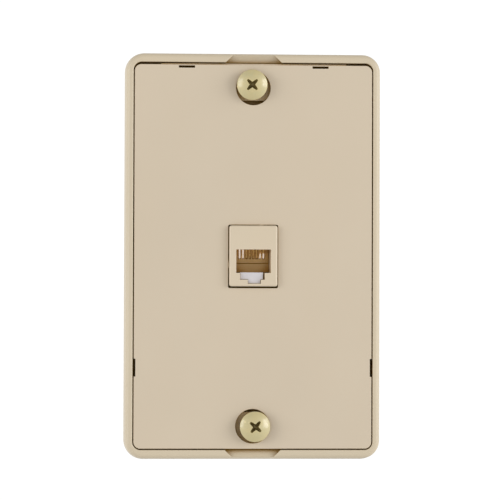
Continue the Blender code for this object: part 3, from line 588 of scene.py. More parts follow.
BASE_LOW, BASE_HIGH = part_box("base_frame")
PLATE_CORNER = 5.8 * MM
RIM_FRONT = BASE_LOW.y
RIM_EDGE = 1.5 * MM
RIM_DRAFT = 0.5 * MM
RIM_BACK_EDGE = 0.2 * MM
RIM_SIDE = 2.6 * MM
RIM_END = 3.1 * MM
WELL_X = BASE_HIGH.x - RIM_SIDE
WELL_Z = BASE_HIGH.z - RIM_END
WELL_CORNER = 2.4 * MM
WELL_EDGE = 0.35 * MM
FLOOR_FRONT = -2.6 * MM
FLOOR_BACK = -0.6 * MM
FLOOR_CUT = -6.0 * MM  # in front of the floor and its bosses, where cutters start
BACK_BAND = 2.4 * MM
BOSS_FRONT = -4.4 * MM
STUD_BOSS_INNER = 46.1 * MM
STUD_BOSS_HALF = 8.5 * MM
STUD_HOLE = 2.9 * MM
NUT_CLEAR = Vector((0.2 * MM, 0.2 * MM, 0.2 * MM))
BOARD_BOSS = 3.0 * MM
BOARD_SCREW_Z = abs(middle("top_board_screw").z)
PILOT_HOLE = 1.4 * MM
PILOT_FRONT = -4.0 * MM
BOX_SCREW_Z = abs(middle("top_box_screw").z)
BOX_SLOT = (4.2 * MM, 2.2 * MM)  # half its length, and its radius
NOTCH_TOP = 59.3 * MM
NOTCH_FOOT = WELL_Z - 0.4 * MM
NOTCH_DEPTHS = (-6.35 * MM, -4.6 * MM)  # of its ramp, at the top and at the foot
NOTCH_HALVES = (6.15 * MM, 8.3 * MM)  # half its width, at the top and at the well
SOFT_EDGE = 0.1 * MM
JACK_LOW, JACK_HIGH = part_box("jack_housing")
JACK_HALF_X = 7.13 * MM
JACK_HALF_Z = 9.0 * MM
JACK_CORNER = 0.7 * MM
JACK_WAY = 0.33 * MM


def pry_notch(side):
    """A cutter for the ramp in the rim's inner edge, with slanted ends."""
    past = RIM_FRONT - PAST
    top, foot = NOTCH_DEPTHS
    section = ((NOTCH_TOP, past), (NOTCH_TOP, top), (NOTCH_FOOT, foot), (NOTCH_FOOT, past))
    narrow, wide = NOTCH_HALVES
    slope = (wide - narrow) / (NOTCH_TOP - WELL_Z)
    rings = []
    for sign in (-1, 1):
        ring = []
        for height, depth in section:
            half = narrow + slope * (NOTCH_TOP - height)
            ring.append((sign * half, depth, side * height))
        rings.append(ring)
    return skinned("notch", rings)


def rounded_slot(name, centre_z, half_length, radius, front, back, steps=16):
    points = []
    for sign in (1, -1):
        for step in range(steps + 1):
            angle = math.radians(-90 + 180 * step / steps)
            x = sign * (half_length - radius + radius * math.cos(angle))
            points.append((x, centre_z + sign * radius * math.sin(angle)))
    return plate(name, points, front, back)


def join_bosses(base, side):
    """The stud's broad boss, and the round one of the board's screw."""
    depths = (BOSS_FRONT, FLOOR_FRONT + SINK)
    inner, outer = side * STUD_BOSS_INNER, side * (WELL_Z + PAST)
    join(base, slab("stud_boss", 0.0, STUD_BOSS_HALF, *depths, inner, outer))
    boss = circle(BOARD_BOSS, (0.0, side * BOARD_SCREW_Z), SMALL_ROUND)
    join(base, plate("board_boss", boss, *depths))


def cut_ways(base, side, place):
    """The notch, the stud's hole with its nut's pocket, the box screw's slot and the board screw's hole."""
    cut(base, pry_notch(side))
    cut(base, plate("stud_hole", circle(STUD_HOLE, middle(f"{place}_stud").xz[:]), FLOOR_CUT, PAST))
    nut_low, nut_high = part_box(f"{place}_stud_nut")
    cut(base, block("nut_pocket", nut_low - NUT_CLEAR, nut_high + NUT_CLEAR + Vector((0, PAST, 0))))
    cut(base, rounded_slot("box_slot", side * BOX_SCREW_Z, *BOX_SLOT, FLOOR_CUT, PAST))
    pilot = circle(PILOT_HOLE, (0.0, side * BOARD_SCREW_Z), SMALL_ROUND)
    cut(base, plate("pilot", pilot, PILOT_FRONT, PAST))


def make_base_frame():
    base = soft_block(
        "base_frame_look", BASE_HIGH.x, BASE_HIGH.z, PLATE_CORNER, RIM_FRONT, 0.0, RIM_EDGE,
        draft=RIM_DRAFT, back_edge=RIM_BACK_EDGE,
    )
    cut(base, soft_hole("well", WELL_X, WELL_Z, WELL_CORNER, RIM_FRONT, FLOOR_FRONT, WELL_EDGE))
    band_x, band_z = BASE_HIGH.x - BACK_BAND, BASE_HIGH.z - BACK_BAND
    recess = rounded_rect(band_x, band_z, PLATE_CORNER - BACK_BAND)
    cut(base, plate("back_recess", recess, FLOOR_BACK, PAST))
    for side in (-1, 1):
        join_bosses(base, side)
    for side, place in ((1, "top"), (-1, "bottom")):
        cut_ways(base, side, place)
    way = rounded_rect(JACK_HALF_X + JACK_WAY, JACK_HALF_Z + JACK_WAY, JACK_CORNER)
    cut(base, plate("jack_way", way, FLOOR_CUT, PAST))
    soften(base, SOFT_EDGE)
    stands_for(base, "base_frame")


# ---------------------------------------------------------------- face panel

PANEL_LOW, PANEL_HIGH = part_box("face_panel")
PANEL_FRONT = PANEL_LOW.y
PANEL_BACK = -4.8 * MM
PANEL_EDGE = 0.25 * MM
PANEL_CORNER = 2.0 * MM
LIP_REACH = 0.35 * MM
LIP_HALF = 27.4 * MM
LIP_FRONT = -5.8 * MM
PANEL_HALF_X = (PANEL_HIGH.x - PANEL_LOW.x) / 2
PANEL_HALF_Z = (PANEL_HIGH.z - LIP_REACH - PANEL_LOW.z) / 2
PANEL_MIDDLE = ((PANEL_LOW.x + PANEL_HIGH.x) / 2, PANEL_LOW.z + PANEL_HALF_Z)
PANEL_TOP = PANEL_MIDDLE[1] + PANEL_HALF_Z
STUD_WAY = 5.05 * MM
STUD_WAY_EDGE = 0.15 * MM
STUD_WAY_X = -0.1 * MM
STUD_WAYS_Z = (49.65 * MM, -50.24 * MM)
SLOT_X = 19.8 * MM
SLOT_HALF = 2.4 * MM
SLOT_TOP = PANEL_TOP - 0.3 * MM
SLOT_FOOT = SLOT_TOP - 0.7 * MM
NICK_Z = -33.0 * MM
NICK_HALF = 2.65 * MM
NICK_DEPTH = 0.55 * MM
LEG_BACK = PANEL_HIGH.y
LEG_THICK = 1.1 * MM
RIB_X = 31.5 * MM
RIB_HALF = 0.6 * MM
RIB_BACK = -3.2 * MM
RIB_ENDS = (-26.0 * MM, 46.0 * MM)
WAY_MIDDLE = (-0.03 * MM, -0.135 * MM)  # the opening round the jack
WAY_HALF = (7.35 * MM, 9.335 * MM)
WAY_CORNER = 0.35 * MM
WAY_EDGE = 0.1 * MM
WAY_LEFT = WAY_MIDDLE[0] - WAY_HALF[0]
WAY_TOP = WAY_MIDDLE[1] + WAY_HALF[1]
NUBS = (  # half their width and height, and their middles, on the left and top of the opening
    (0.18 * MM, 1.1 * MM, WAY_LEFT, -2.55 * MM),
    (0.6 * MM, 0.13 * MM, 2.4 * MM, WAY_TOP),
)
NUB_FRONT = PANEL_FRONT + 0.05 * MM
NUB_BACK = PANEL_BACK - 0.1 * MM


def stud_way(centre):
    """A cutter for the round hole that a stud stands in, with a rounded mouth."""
    profile = [(STUD_WAY + STUD_WAY_EDGE, PANEL_FRONT - PAST)]
    for across, along in quarter():
        profile.append((STUD_WAY + STUD_WAY_EDGE * across, PANEL_FRONT + STUD_WAY_EDGE * along))
    profile.append((STUD_WAY, 0.0))
    return turned("stud_way", profile, centre)


def side_block(name, side, reach, front, back):
    """A block as high as a nick, from the nick's bottom outwards, or inwards if its reach is negative."""
    near = PANEL_MIDDLE[0] + side * (PANEL_HALF_X - NICK_DEPTH)
    low = (near, front, NICK_Z - NICK_HALF)
    return block(name, low, (near + side * reach, back, NICK_Z + NICK_HALF))


def join_legs(panel):
    """The snap legs behind the slots and the nicks, and the long ribs."""
    front = PANEL_BACK - SINK
    for side in (-1, 1):
        inner = SLOT_FOOT - LEG_THICK
        join(panel, slab("leg_top", side * SLOT_X, SLOT_HALF, front, LEG_BACK, inner, SLOT_FOOT))
        join(panel, side_block("leg_side", side, -LEG_THICK, front, LEG_BACK))
        join(panel, slab("rib", side * RIB_X, RIB_HALF, front, RIB_BACK, *RIB_ENDS))


def join_nubs(panel):
    """Two shallow swellings of the opening's edge that centre the panel on the jack."""
    angles = [math.tau * step / SMALL_ROUND for step in range(SMALL_ROUND)]
    for wide, high, x, z in NUBS:
        outline = [(x + wide * math.cos(a), z + high * math.sin(a)) for a in angles]
        join(panel, plate("nub", outline, NUB_FRONT, NUB_BACK))


def make_face_panel():
    panel = soft_block(
        "face_panel_look", PANEL_HALF_X, PANEL_HALF_Z, PANEL_CORNER, PANEL_FRONT, PANEL_BACK, PANEL_EDGE,
        centre=PANEL_MIDDLE,
    )
    lip_ends = (PANEL_TOP - PAST, PANEL_TOP + LIP_REACH)
    join(panel, slab("lip", 0.0, LIP_HALF, LIP_FRONT, PANEL_BACK, *lip_ends))
    join_legs(panel)
    past = PANEL_FRONT - PAST
    for side, hole_z in zip((1, -1), STUD_WAYS_Z):
        cut(panel, stud_way((STUD_WAY_X, hole_z)))
        cut(panel, slab("slot", side * SLOT_X, SLOT_HALF, past, 0.0, SLOT_FOOT, SLOT_TOP))
        cut(panel, side_block("nick", side, 2 * PAST, past, 0.0))
    cut(panel, soft_hole("jack_way", *WAY_HALF, WAY_CORNER, PANEL_FRONT, 0.0, WAY_EDGE, WAY_MIDDLE))
    join_nubs(panel)
    stands_for(panel, "face_panel")


# ---------------------------------------------------------------- studs, nuts and screws

STUD_HEAD = 4.5 * MM
STUD_HEAD_BACK = -8.2 * MM
STUD_DOME = 7.2 * MM
STUD_EDGE = 0.2 * MM
STUD_BEAD = 0.08 * MM  # steps of the dome's rounded rim
STUD_NECK = 2.6 * MM
STUD_FILLET = 0.15 * MM
STUD_COLLAR = 3.6 * MM
STUD_COLLAR_EDGE = 0.1 * MM
STUD_COLLAR_BACK = BOSS_FRONT - 0.25 * MM
STUD_COLLAR_FRONT = STUD_COLLAR_BACK - 0.75 * MM
STUD_SHANK = 2.0 * MM
STUD_DRIVE = (2.25 * MM, 0.46 * MM, 1.9 * MM)  # length and width of its arms, and depth
MACHINE_PITCH = 0.794 * MM  # of the studs, the box screws and the terminal screws
STUDS = (  # turn of the recess, lean up and right in degrees, shift of the head right and up
    ("top", 45, 2.9, -1.9, -0.16 * MM, 0.48 * MM),
    ("bottom", 50, 0.0, 3.2, 0.225 * MM, -0.06 * MM),
)


def stud_profile(front, steps=24):
    """Radius and depth of a stud from its crown to the top of its shank."""
    crown = front + 0.02 * MM
    profile = []
    for step in range(steps + 1):
        radius = (STUD_HEAD - 0.1 * MM) * (0.005 + 0.995 * step / steps)
        profile.append((radius, crown + STUD_DOME - math.sqrt(STUD_DOME**2 - radius**2)))
    profile.append((STUD_HEAD - 0.02 * MM, profile[-1][1] + STUD_BEAD))
    profile.append((STUD_HEAD, profile[-1][1] + STUD_BEAD))
    for across, along in reversed(quarter(4)):
        profile.append((STUD_HEAD - STUD_EDGE * across, STUD_HEAD_BACK - STUD_EDGE * along))
    fillet, edge = STUD_FILLET, STUD_COLLAR_EDGE
    profile += [(STUD_NECK + fillet, STUD_HEAD_BACK), (STUD_NECK, STUD_HEAD_BACK + fillet)]
    profile += [(STUD_NECK, STUD_COLLAR_FRONT - fillet), (STUD_NECK + fillet, STUD_COLLAR_FRONT)]
    profile += [(STUD_COLLAR - edge, STUD_COLLAR_FRONT), (STUD_COLLAR, STUD_COLLAR_FRONT + edge)]
    profile += [(STUD_COLLAR, STUD_COLLAR_BACK - edge), (STUD_COLLAR - edge, STUD_COLLAR_BACK)]
    return profile + [(STUD_SHANK + 0.05 * MM, STUD_COLLAR_BACK)]


def make_stud(place, tilt, lean_up, lean_right, head_x, head_z):
    """A shoulder stud with a domed head and a cross recess, screwed in a little askew."""
    node = f"{place}_stud"
    low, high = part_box(node)
    x, z = axis_of(node)
    shank, start, end = STUD_SHANK, BOSS_FRONT + 0.2 * MM, high.y - 0.45 * MM
    tip = [(shank * 0.82, end + 0.1 * MM), (shank * 0.72, high.y - 0.1 * MM)]
    profile = stud_profile(low.y)
    stud = threaded(f"{node}_look", profile, (x, z), start, end, shank, MACHINE_PITCH, tip, ROUND)
    stud.data.materials.append(yellow_zinc(place, (x, z)))
    drive = cross_recess("drive", (x, z), low.y + 0.2 * MM, tilt, *STUD_DRIVE)
    # The recess's faces take the dark olive material: painted shade in the cross drive.
    drive.data.materials.append(MATERIALS["recess"])
    cut(stud, drive)
    soften(stud, 0.05 * MM, angle=38)
    smooth(stud, 36)
    head = Vector((x, STUD_HEAD_BACK, z))
    up = Matrix.Rotation(math.radians(lean_up), 4, "X")
    right = Matrix.Rotation(math.radians(lean_right), 4, "Z")
    seat = Matrix.Translation(head + Vector((head_x, 0.0, head_z)))
    stud.data.transform(seat @ (up @ right) @ Matrix.Translation(-head))
    carries(stud, node)


NUT_CORNER = 0.5 * MM
NUT_EDGE = 0.25 * MM
NUT_BORE = 2.3 * MM
NUT_MOUTH = 2.6 * MM
NUT_LEAD = 0.35 * MM


def square_block(node, corner, front_edge, back_edge):
    """A square block with rounded edges that fills a node's box."""
    low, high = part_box(node)
    half = (high.x - low.x) / 2
    square = soft_block(f"{node}_look", half, half, corner, low.y, high.y, front_edge, back_edge=back_edge)
    x, z = axis_of(node)
    square.data.transform(Matrix.Translation((x, 0.0, z)))
    return square


def make_nut(place):
    node = f"{place}_stud_nut"
    low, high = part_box(node)
    nut = square_block(node, NUT_CORNER, NUT_EDGE, NUT_EDGE)
    profile = [(NUT_MOUTH, low.y - PAST), (NUT_MOUTH, low.y), (NUT_BORE, low.y + NUT_LEAD)]
    profile += [(NUT_BORE, high.y - NUT_LEAD), (NUT_MOUTH, high.y), (NUT_MOUTH, high.y + PAST)]
    cut(nut, turned("bore", profile, axis_of(node), SMALL_ROUND))
    stands_for(nut, node)


HEAD_FLAT = 0.84  # share of a pan head's radius under its crown
HEAD_SIDE = 0.72  # share of its height at the foot of its crown
HEAD_DROP = 0.4  # share of its height that its side falls
HEAD_EDGE = 0.08 * MM


def pan_head(seat, radius, height, away):
    """Profile of a pan head from its crown to its seat; away is -1 when the head faces the front."""
    profile = [(TIP_RADIUS, seat + away * height)]
    for step in range(1, 11):
        angle = math.radians(90 * step / 10)
        crown = HEAD_SIDE + (1 - HEAD_SIDE) * math.cos(angle)
        profile.append((radius * HEAD_FLAT * math.sin(angle), seat + away * height * crown))
    for step in range(1, 6):
        angle = math.radians(90 * step / 5)
        reach = radius * (HEAD_FLAT + (1 - HEAD_FLAT) * math.sin(angle))
        side = HEAD_SIDE - HEAD_DROP * (1 - math.cos(angle))
        profile.append((reach, seat + away * height * side))
    return profile + [(radius, seat + away * HEAD_EDGE), (radius - HEAD_EDGE, seat)]


BOX_SCREW_SEAT = FLOOR_FRONT - 0.3 * MM
BOX_SCREW_SHANK = 1.73 * MM
BOX_SCREW_SLOT = 0.45 * MM  # half its width
BOX_SCREW_SLOT_DEPTH = 0.8 * MM


def make_box_screw(place):
    node = f"{place}_box_screw"
    low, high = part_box(node)
    x, z = axis_of(node)
    seat, shank = BOX_SCREW_SEAT, BOX_SCREW_SHANK
    profile = pan_head(seat, high.x - x, seat - low.y, -1) + [(shank, seat)]
    tip = [(shank * 0.8, high.y - 0.2 * MM), (shank * 0.65, high.y)]
    start, end = seat + 0.6 * MM, high.y - 0.5 * MM
    screw = threaded(f"{node}_look", profile, (x, z), start, end, shank, MACHINE_PITCH, tip)
    depths = (low.y - PAST, low.y + BOX_SCREW_SLOT_DEPTH)
    cut(screw, slab("slot", 0.0, BOX_SCREW_SLOT, *depths, low.z - PAST, high.z + PAST))
    stands_for(screw, node, 36)


# Rear screws: head radius and height, shank radius, pitch, and length, width and depth of the recess.
BOARD_SCREW = (2.4 * MM, 1.5 * MM, 1.1 * MM, 0.7 * MM, (1.2 * MM, 0.26 * MM, 1.0 * MM))
TERMINAL_SCREW = (3.0 * MM, 1.8 * MM, 1.45 * MM, MACHINE_PITCH, (1.5 * MM, 0.3 * MM, 1.2 * MM))


def make_rear_screw(node, radius, height, shank, pitch, drive, tilt):
    """A pan-head screw whose head faces the back."""
    low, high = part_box(node)
    seat = high.y - height
    profile = pan_head(seat, radius, height, 1) + [(shank, seat)]
    tip = [(shank * 0.8, low.y + 0.15 * MM), (shank * 0.6, low.y)]
    start, end = seat - 0.2 * MM, low.y + 0.4 * MM
    screw = threaded(f"{node}_look", profile, axis_of(node), start, end, shank, pitch, tip)
    length, width, depth = drive
    cut(screw, cross_recess("drive", axis_of(node), high.y - HEAD_EDGE, tilt, length, width, -depth))
    stands_for(screw, node, 36)


# ---------------------------------------------------------------- jack

SOCKET_MIDDLE = 0.06 * MM
SOCKET_HALF = 5.13 * MM
SOCKET_FLOOR = -5.0 * MM
SOCKET_TOP = 1.9 * MM
CHAMBER_TOP = 7.6 * MM
FACE_WALL = 1.6 * MM
JACK_EDGE = 0.6 * MM
FLANGE = (-0.3 * MM, 0.9 * MM)  # its front and back
MOUTH_CORNER = 0.1 * MM
MOUTH_EDGE = 0.12 * MM
KEYWAY_EDGE = 0.08 * MM
KEYWAY_TOP = SOCKET_FLOOR + 0.3 * MM
KEYWAY_WIDE = (-3.95 * MM, 3.05 * MM)
KEYWAY_STEP = -7.0 * MM
KEYWAY_NARROW = (-1.66 * MM, 2.22 * MM)
KEYWAY_BOTTOM = -8.15 * MM
REBATE_RIGHT = 3.35 * MM
REBATE_DEPTH = 1.4 * MM


def stepped_outline(wide, narrow, top, step, bottom, grow=0.0):
    """The stepped section of the keyway, or of the insert in it."""
    left, right = wide[0] - grow, wide[1] + grow
    foot_left, foot_right = narrow[0] - grow, narrow[1] + grow
    step, bottom = step - grow, bottom - grow
    points = [(foot_right, bottom), (foot_right, step), (right, step), (right, top)]
    return points + [(left, top), (left, step), (foot_left, step), (foot_left, bottom)]


def keyway_cutter():
    front, edge = JACK_LOW.y, KEYWAY_EDGE
    section = (KEYWAY_WIDE, KEYWAY_NARROW, KEYWAY_TOP, KEYWAY_STEP, KEYWAY_BOTTOM)
    mouth, way = stepped_outline(*section, edge), stepped_outline(*section)
    levels = [(front - PAST, mouth), (front, mouth), (front + edge, way), (JACK_HIGH.y + PAST, way)]
    return lofted("keyway", levels)


def make_jack_housing():
    front, back = JACK_LOW.y, JACK_HIGH.y
    housing = soft_block(
        "jack_housing_look", JACK_HALF_X, JACK_HALF_Z, JACK_CORNER, front, back, JACK_EDGE
    )
    join(housing, plate("flange", rounded_rect(JACK_HIGH.x, JACK_HIGH.z, JACK_CORNER), *FLANGE))
    left, right = SOCKET_MIDDLE - SOCKET_HALF, SOCKET_MIDDLE + SOCKET_HALF
    low = (left, front + FACE_WALL, SOCKET_FLOOR)
    cut(housing, block("chamber", low, (right, back + PAST, CHAMBER_TOP)))
    half_z = (SOCKET_TOP - SOCKET_FLOOR) / 2
    centre = (SOCKET_MIDDLE, (SOCKET_TOP + SOCKET_FLOOR) / 2)
    behind = front + FACE_WALL + PAST
    cut(housing, soft_hole("mouth", SOCKET_HALF, half_z, MOUTH_CORNER, front, behind, MOUTH_EDGE, centre))
    cut(housing, keyway_cutter())
    rebate = (REBATE_RIGHT, front + REBATE_DEPTH, KEYWAY_TOP)
    cut(housing, block("rebate", (0.0, front - PAST, KEYWAY_STEP), rebate))
    stands_for(housing, "jack_housing")


INSERT_SNUG = 0.08 * MM  # how much nearer the insert sits to the keyway than in the CAD
INSERT_NARROW = (-1.51 * MM - INSERT_SNUG, 2.13 * MM)
INSERT_STEP = -6.92 * MM
INSERT_EDGE = 0.12 * MM


def make_latch_insert():
    low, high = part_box("latch_insert")
    wide = (low.x - INSERT_SNUG, high.x)
    outline = stepped_outline(wide, INSERT_NARROW, high.z, INSERT_STEP, low.z - INSERT_SNUG)
    insert = plate("latch_insert_look", outline, low.y, high.y)
    soften(insert, INSERT_EDGE, angle=60)
    stands_for(insert, "latch_insert")


CONTACT_XS = [middle(f"contact_wire_{number}").x for number in range(1, 9)]
PIVOT = Vector((0.0, -4.4 * MM, 3.4 * MM))
CONTACT_TOP = 6.3 * MM
CONTACT_END = Vector((0.0, 3.5 * MM, -0.4 * MM))
BEND = 0.8 * MM
CROWN = 0.1 * MM
CONTACT_LEAN = 0.056  # the wires lean a little to the left towards their bends
CONTACT_RADIUS = 0.23 * MM
CARRIER_WALL = 3.2 * MM
CARRIER_ARM = 4.9 * MM
CARRIER_SNUG = 0.12 * MM  # how much nearer the carrier sits to the housing than in the CAD
PARTING = (-2.2 * MM, -1.95 * MM)
PARTING_DEPTH = 0.7 * MM
COMB_HALF = 0.35 * MM
COMB_FOOT = -0.8 * MM
COMB_DEPTH = 1.6 * MM
POCKET_REACH = (-0.95 * MM, 0.6 * MM)  # in front of the bends and behind them
POCKET_TOP = 6.9 * MM


def make_contact_carrier():
    low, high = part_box("contact_carrier")
    wall, arm = CARRIER_WALL, CARRIER_ARM
    left, right = low.x - CARRIER_SNUG, high.x + CARRIER_SNUG
    wall_low = (left, wall, low.z - 2 * CARRIER_SNUG)
    carrier = block("contact_carrier_look", wall_low, (right, high.y, high.z))
    join(carrier, block("arm", (left, low.y, arm), (right, wall + PAST, high.z)))
    groove_low = (left - PAST, wall - PAST, PARTING[0])
    cut(carrier, block("parting", groove_low, (right + PAST, wall + PARTING_DEPTH, PARTING[1])))
    for x in CONTACT_XS:
        cut(carrier, slab("comb", x, COMB_HALF, wall - PAST, wall + COMB_DEPTH, COMB_FOOT, arm))
        bend = x + CONTACT_LEAN * (PIVOT.y - CONTACT_END.y)
        depths = [PIVOT.y + reach for reach in POCKET_REACH]
        cut(carrier, slab("pocket", bend, COMB_HALF, *depths, arm - SINK, POCKET_TOP))
    stands_for(carrier, "contact_carrier")


def contact_route(x, steps=12):
    """Middle line of a contact wire, with a round bend and a slight crown on its sloping length."""
    slope = (CONTACT_END - PIVOT).normalized()
    start = PIVOT + Vector((0.0, 0.0, BEND))
    finish = PIVOT + slope * BEND
    route = [Vector((0.0, PIVOT.y, CONTACT_TOP))]
    for step in range(steps + 1):
        part = step / steps
        route.append(start.lerp(PIVOT, part).lerp(PIVOT.lerp(finish, part), part))
    normal = Vector((0.0, -slope.z, slope.y))
    for step in range(1, steps + 1):
        part = step / steps
        crown = CROWN * math.sin(math.pi * part)
        route.append(finish.lerp(CONTACT_END, part) + normal * crown)
    return [Vector((x + CONTACT_LEAN * (point.y - CONTACT_END.y), point.y, point.z)) for point in route]


def make_contacts():
    for number, x in enumerate(CONTACT_XS, 1):
        wire = swept(f"contact_wire_{number}_look", contact_route(x), CONTACT_RADIUS, 14)
        stands_for(wire, f"contact_wire_{number}", 50)


LEADS = (("black", -1, 1), ("red", 1, 1), ("yellow", -1, -1), ("green", 1, -1))
LEAD_X = 2.6 * MM
LEAD_Z = 3.2 * MM
LEAD_RADIUS = 0.6 * MM
TERMINAL_X = abs(middle("terminal_screw_1").x)
TERMINAL_Z = abs(middle("terminal_screw_1").z)
LEAD_HOLE = 0.9 * MM
BARREL = (5.4 * MM, 3.4 * MM, 1.1 * MM)  # its two ends, out from the middle, and its radius
BARREL_BORE = (5.1 * MM, 2.4 * MM, 0.82 * MM)
BARREL_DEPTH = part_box("spade_lug_1")[0].y + BARREL[2]


def make_rear_cap():
    low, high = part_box("rear_cap")
    cap = soft_block(
        "rear_cap_look", JACK_HALF_X, JACK_HALF_Z, JACK_CORNER, low.y, high.y, 0.1 * MM, back_edge=0.4 * MM
    )
    for _, side_x, side_z in LEADS:
        drill(cap, LEAD_HOLE, (side_x * LEAD_X, side_z * LEAD_Z), low, high)
    stands_for(cap, "rear_cap")


# ---------------------------------------------------------------- terminal board


BOARD_CORNER = 2.0 * MM
BOARD_EDGES = (0.15 * MM, 0.5 * MM)  # at its front and back
FLANGE_ROOM = 0.3 * MM
POCKET_DEPTH = 1.2 * MM
TERMINAL_HOLE = 1.8 * MM  # in the board and in the washers
BOARD_HOLE = 1.4 * MM
FORK = (1.8 * MM, 3.1 * MM)  # inner and outer radius
FORK_TIP = 2.4 * MM
LUG_THICK = 0.5 * MM
LUG_NECK = (2.5 * MM, 4.6 * MM)  # from near the terminal's middle to this far out from the plate's
LUG_NECK_HALF = 1.0 * MM
CRIMP = 0.14  # share of the barrel's radius that the crimp takes
CRIMP_SPREAD = 0.16  # share of its length
WASHER_CORNER = 0.6 * MM
WASHER_EDGES = (0.1 * MM, 0.2 * MM)


def make_terminal_board():
    low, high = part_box("terminal_board")
    front_edge, back_edge = BOARD_EDGES
    board = soft_block(
        "terminal_board_look", high.x, high.z, BOARD_CORNER, low.y, high.y, front_edge, back_edge=back_edge
    )
    pocket = rounded_rect(JACK_HIGH.x + FLANGE_ROOM, JACK_HIGH.z + FLANGE_ROOM, JACK_CORNER)
    cut(board, plate("flange_pocket", pocket, low.y - PAST, POCKET_DEPTH))
    way = rounded_rect(JACK_HALF_X + JACK_WAY, JACK_HALF_Z + JACK_WAY, JACK_CORNER + JACK_WAY)
    cut(board, plate("way", way, low.y - PAST, high.y + PAST))
    for _, side_x, side_z in LEADS:
        drill(board, TERMINAL_HOLE, (side_x * TERMINAL_X, side_z * TERMINAL_Z), low, high)
    for side in (-1, 1):
        drill(board, BOARD_HOLE, (0.0, side * BOARD_SCREW_Z), low, high)
    stands_for(board, "terminal_board")


def fork_outline(centre, inward, steps=32):
    """A fork open away from the jack."""
    inner, outer = FORK
    tip = centre[1] - inward * FORK_TIP
    points = []
    for radius, order in ((outer, range(0, steps + 1)), (inner, range(steps, -1, -1))):
        arc = []
        for step in order:
            angle = math.pi * step / steps
            x = centre[0] + radius * math.cos(angle)
            arc.append((x, centre[1] + inward * radius * math.sin(angle)))
        points += [(arc[0][0], tip), *arc, (arc[-1][0], tip)]
    return points


def crimp_barrel(name, x, sign, near, far, radius, steps=12):
    """A cylinder along Z, pinched a little in the middle where it is crimped."""
    rings = []
    for step in range(steps + 1):
        part = step / steps
        pinch = 1.0 - CRIMP * math.exp(-(((part - 0.5) / CRIMP_SPREAD) ** 2))
        height = sign * (near + (far - near) * part)
        ring = []
        for angle in (math.tau * turn / SMALL_ROUND for turn in range(SMALL_ROUND)):
            depth = BARREL_DEPTH + radius * pinch * math.sin(angle)
            ring.append((x + radius * math.cos(angle), depth, height))
        rings.append(ring)
    return skinned(name, rings)


def make_lug(number, side_x, side_z):
    node = f"spade_lug_{number}"
    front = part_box(node)[0].y
    back = front + LUG_THICK
    x = side_x * TERMINAL_X
    fork = fork_outline((x, side_z * TERMINAL_Z), -side_z)
    lug = plate(f"{node}_look", fork, front, back)
    near, far = side_z * (TERMINAL_Z - LUG_NECK[0]), side_z * LUG_NECK[1]
    join(lug, slab("neck", x, LUG_NECK_HALF, front, back, near, far))
    join(lug, crimp_barrel("barrel", x, side_z, *BARREL))
    cut(lug, crimp_barrel("bore", x, side_z, *BARREL_BORE))
    stands_for(lug, node, 36)


def make_washer(number):
    node = f"terminal_washer_{number}"
    washer = square_block(node, WASHER_CORNER, *WASHER_EDGES)
    drill(washer, TERMINAL_HOLE, axis_of(node), *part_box(node))
    stands_for(washer, node)


def lead_route(side_x, side_z):
    """A lead's own points, from inside its lug's barrel back to its hole in the rear cap."""
    mouth = BARREL_DEPTH
    cap_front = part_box("rear_cap")[0].y
    knots = [
        (TERMINAL_X, mouth, 4.7 * MM),
        (TERMINAL_X, mouth, 3.3 * MM),
        (TERMINAL_X - 0.4 * MM, mouth + 1.0 * MM, 1.9 * MM),
        (TERMINAL_X - 1.9 * MM, mouth + 3.3 * MM, 1.3 * MM),
        (10.2 * MM, 11.0 * MM, 1.6 * MM),
        (6.9 * MM, 13.0 * MM, 2.3 * MM),
        (4.3 * MM, 13.4 * MM, 2.9 * MM),
        (LEAD_X + 0.3 * MM, 12.4 * MM, LEAD_Z - 0.1 * MM),
        (LEAD_X, 10.9 * MM, LEAD_Z),
        (LEAD_X, cap_front + 0.3 * MM, LEAD_Z),
    ]
    return [Vector((side_x * x, y, side_z * z)) for x, y, z in knots]


def make_terminals():
    for number, (colour, side_x, side_z) in enumerate(LEADS, 1):
        make_rear_screw(f"terminal_screw_{number}", *TERMINAL_SCREW, 35 + 22 * number)
        make_washer(number)
        make_lug(number, side_x, side_z)
        lead = swept(f"lead_{colour}_look", smooth_route(lead_route(side_x, side_z)), LEAD_RADIUS, 20)
        stands_for(lead, f"lead_{colour}", 50)


# ---------------------------------------------------------------- camera, light and floor

CAMERA_DISTANCE = 0.70
CAMERA_YAW = math.radians(3.2)
CAMERA_RISE = math.radians(-1.0)
CAMERA_ROLL = math.radians(0.19)
LENS = 169.0  # mm, on a frame 36 mm wide
AIM = Vector((-0.0006, 0.0, 0.00188))


def make_camera():
    data = bpy.data.cameras.new("camera")
    data.sensor_width = 36.0
    data.lens = LENS
    data.clip_start = 0.01
    camera = placed("camera", data)
    away = Vector((-math.sin(CAMERA_YAW), -math.cos(CAMERA_YAW), math.sin(CAMERA_RISE))).normalized()
    camera.location = AIM + away * CAMERA_DISTANCE
    facing = (-away).to_track_quat("-Z", "Y").to_matrix().to_4x4()
    roll = Matrix.Rotation(CAMERA_ROLL, 4, "Z")
    camera.matrix_world = Matrix.Translation(camera.location) @ facing @ roll
    bpy.context.scene.camera = camera


SOFTBOXES = (("left_box", -62, 7.5), ("right_box", 62, 10.5))  # azimuth and power
SOFTBOX_DISTANCE = 1.5
SOFTBOX_HEIGHT = 0.26
SOFTBOX_SIZE = (0.7, 0.9)


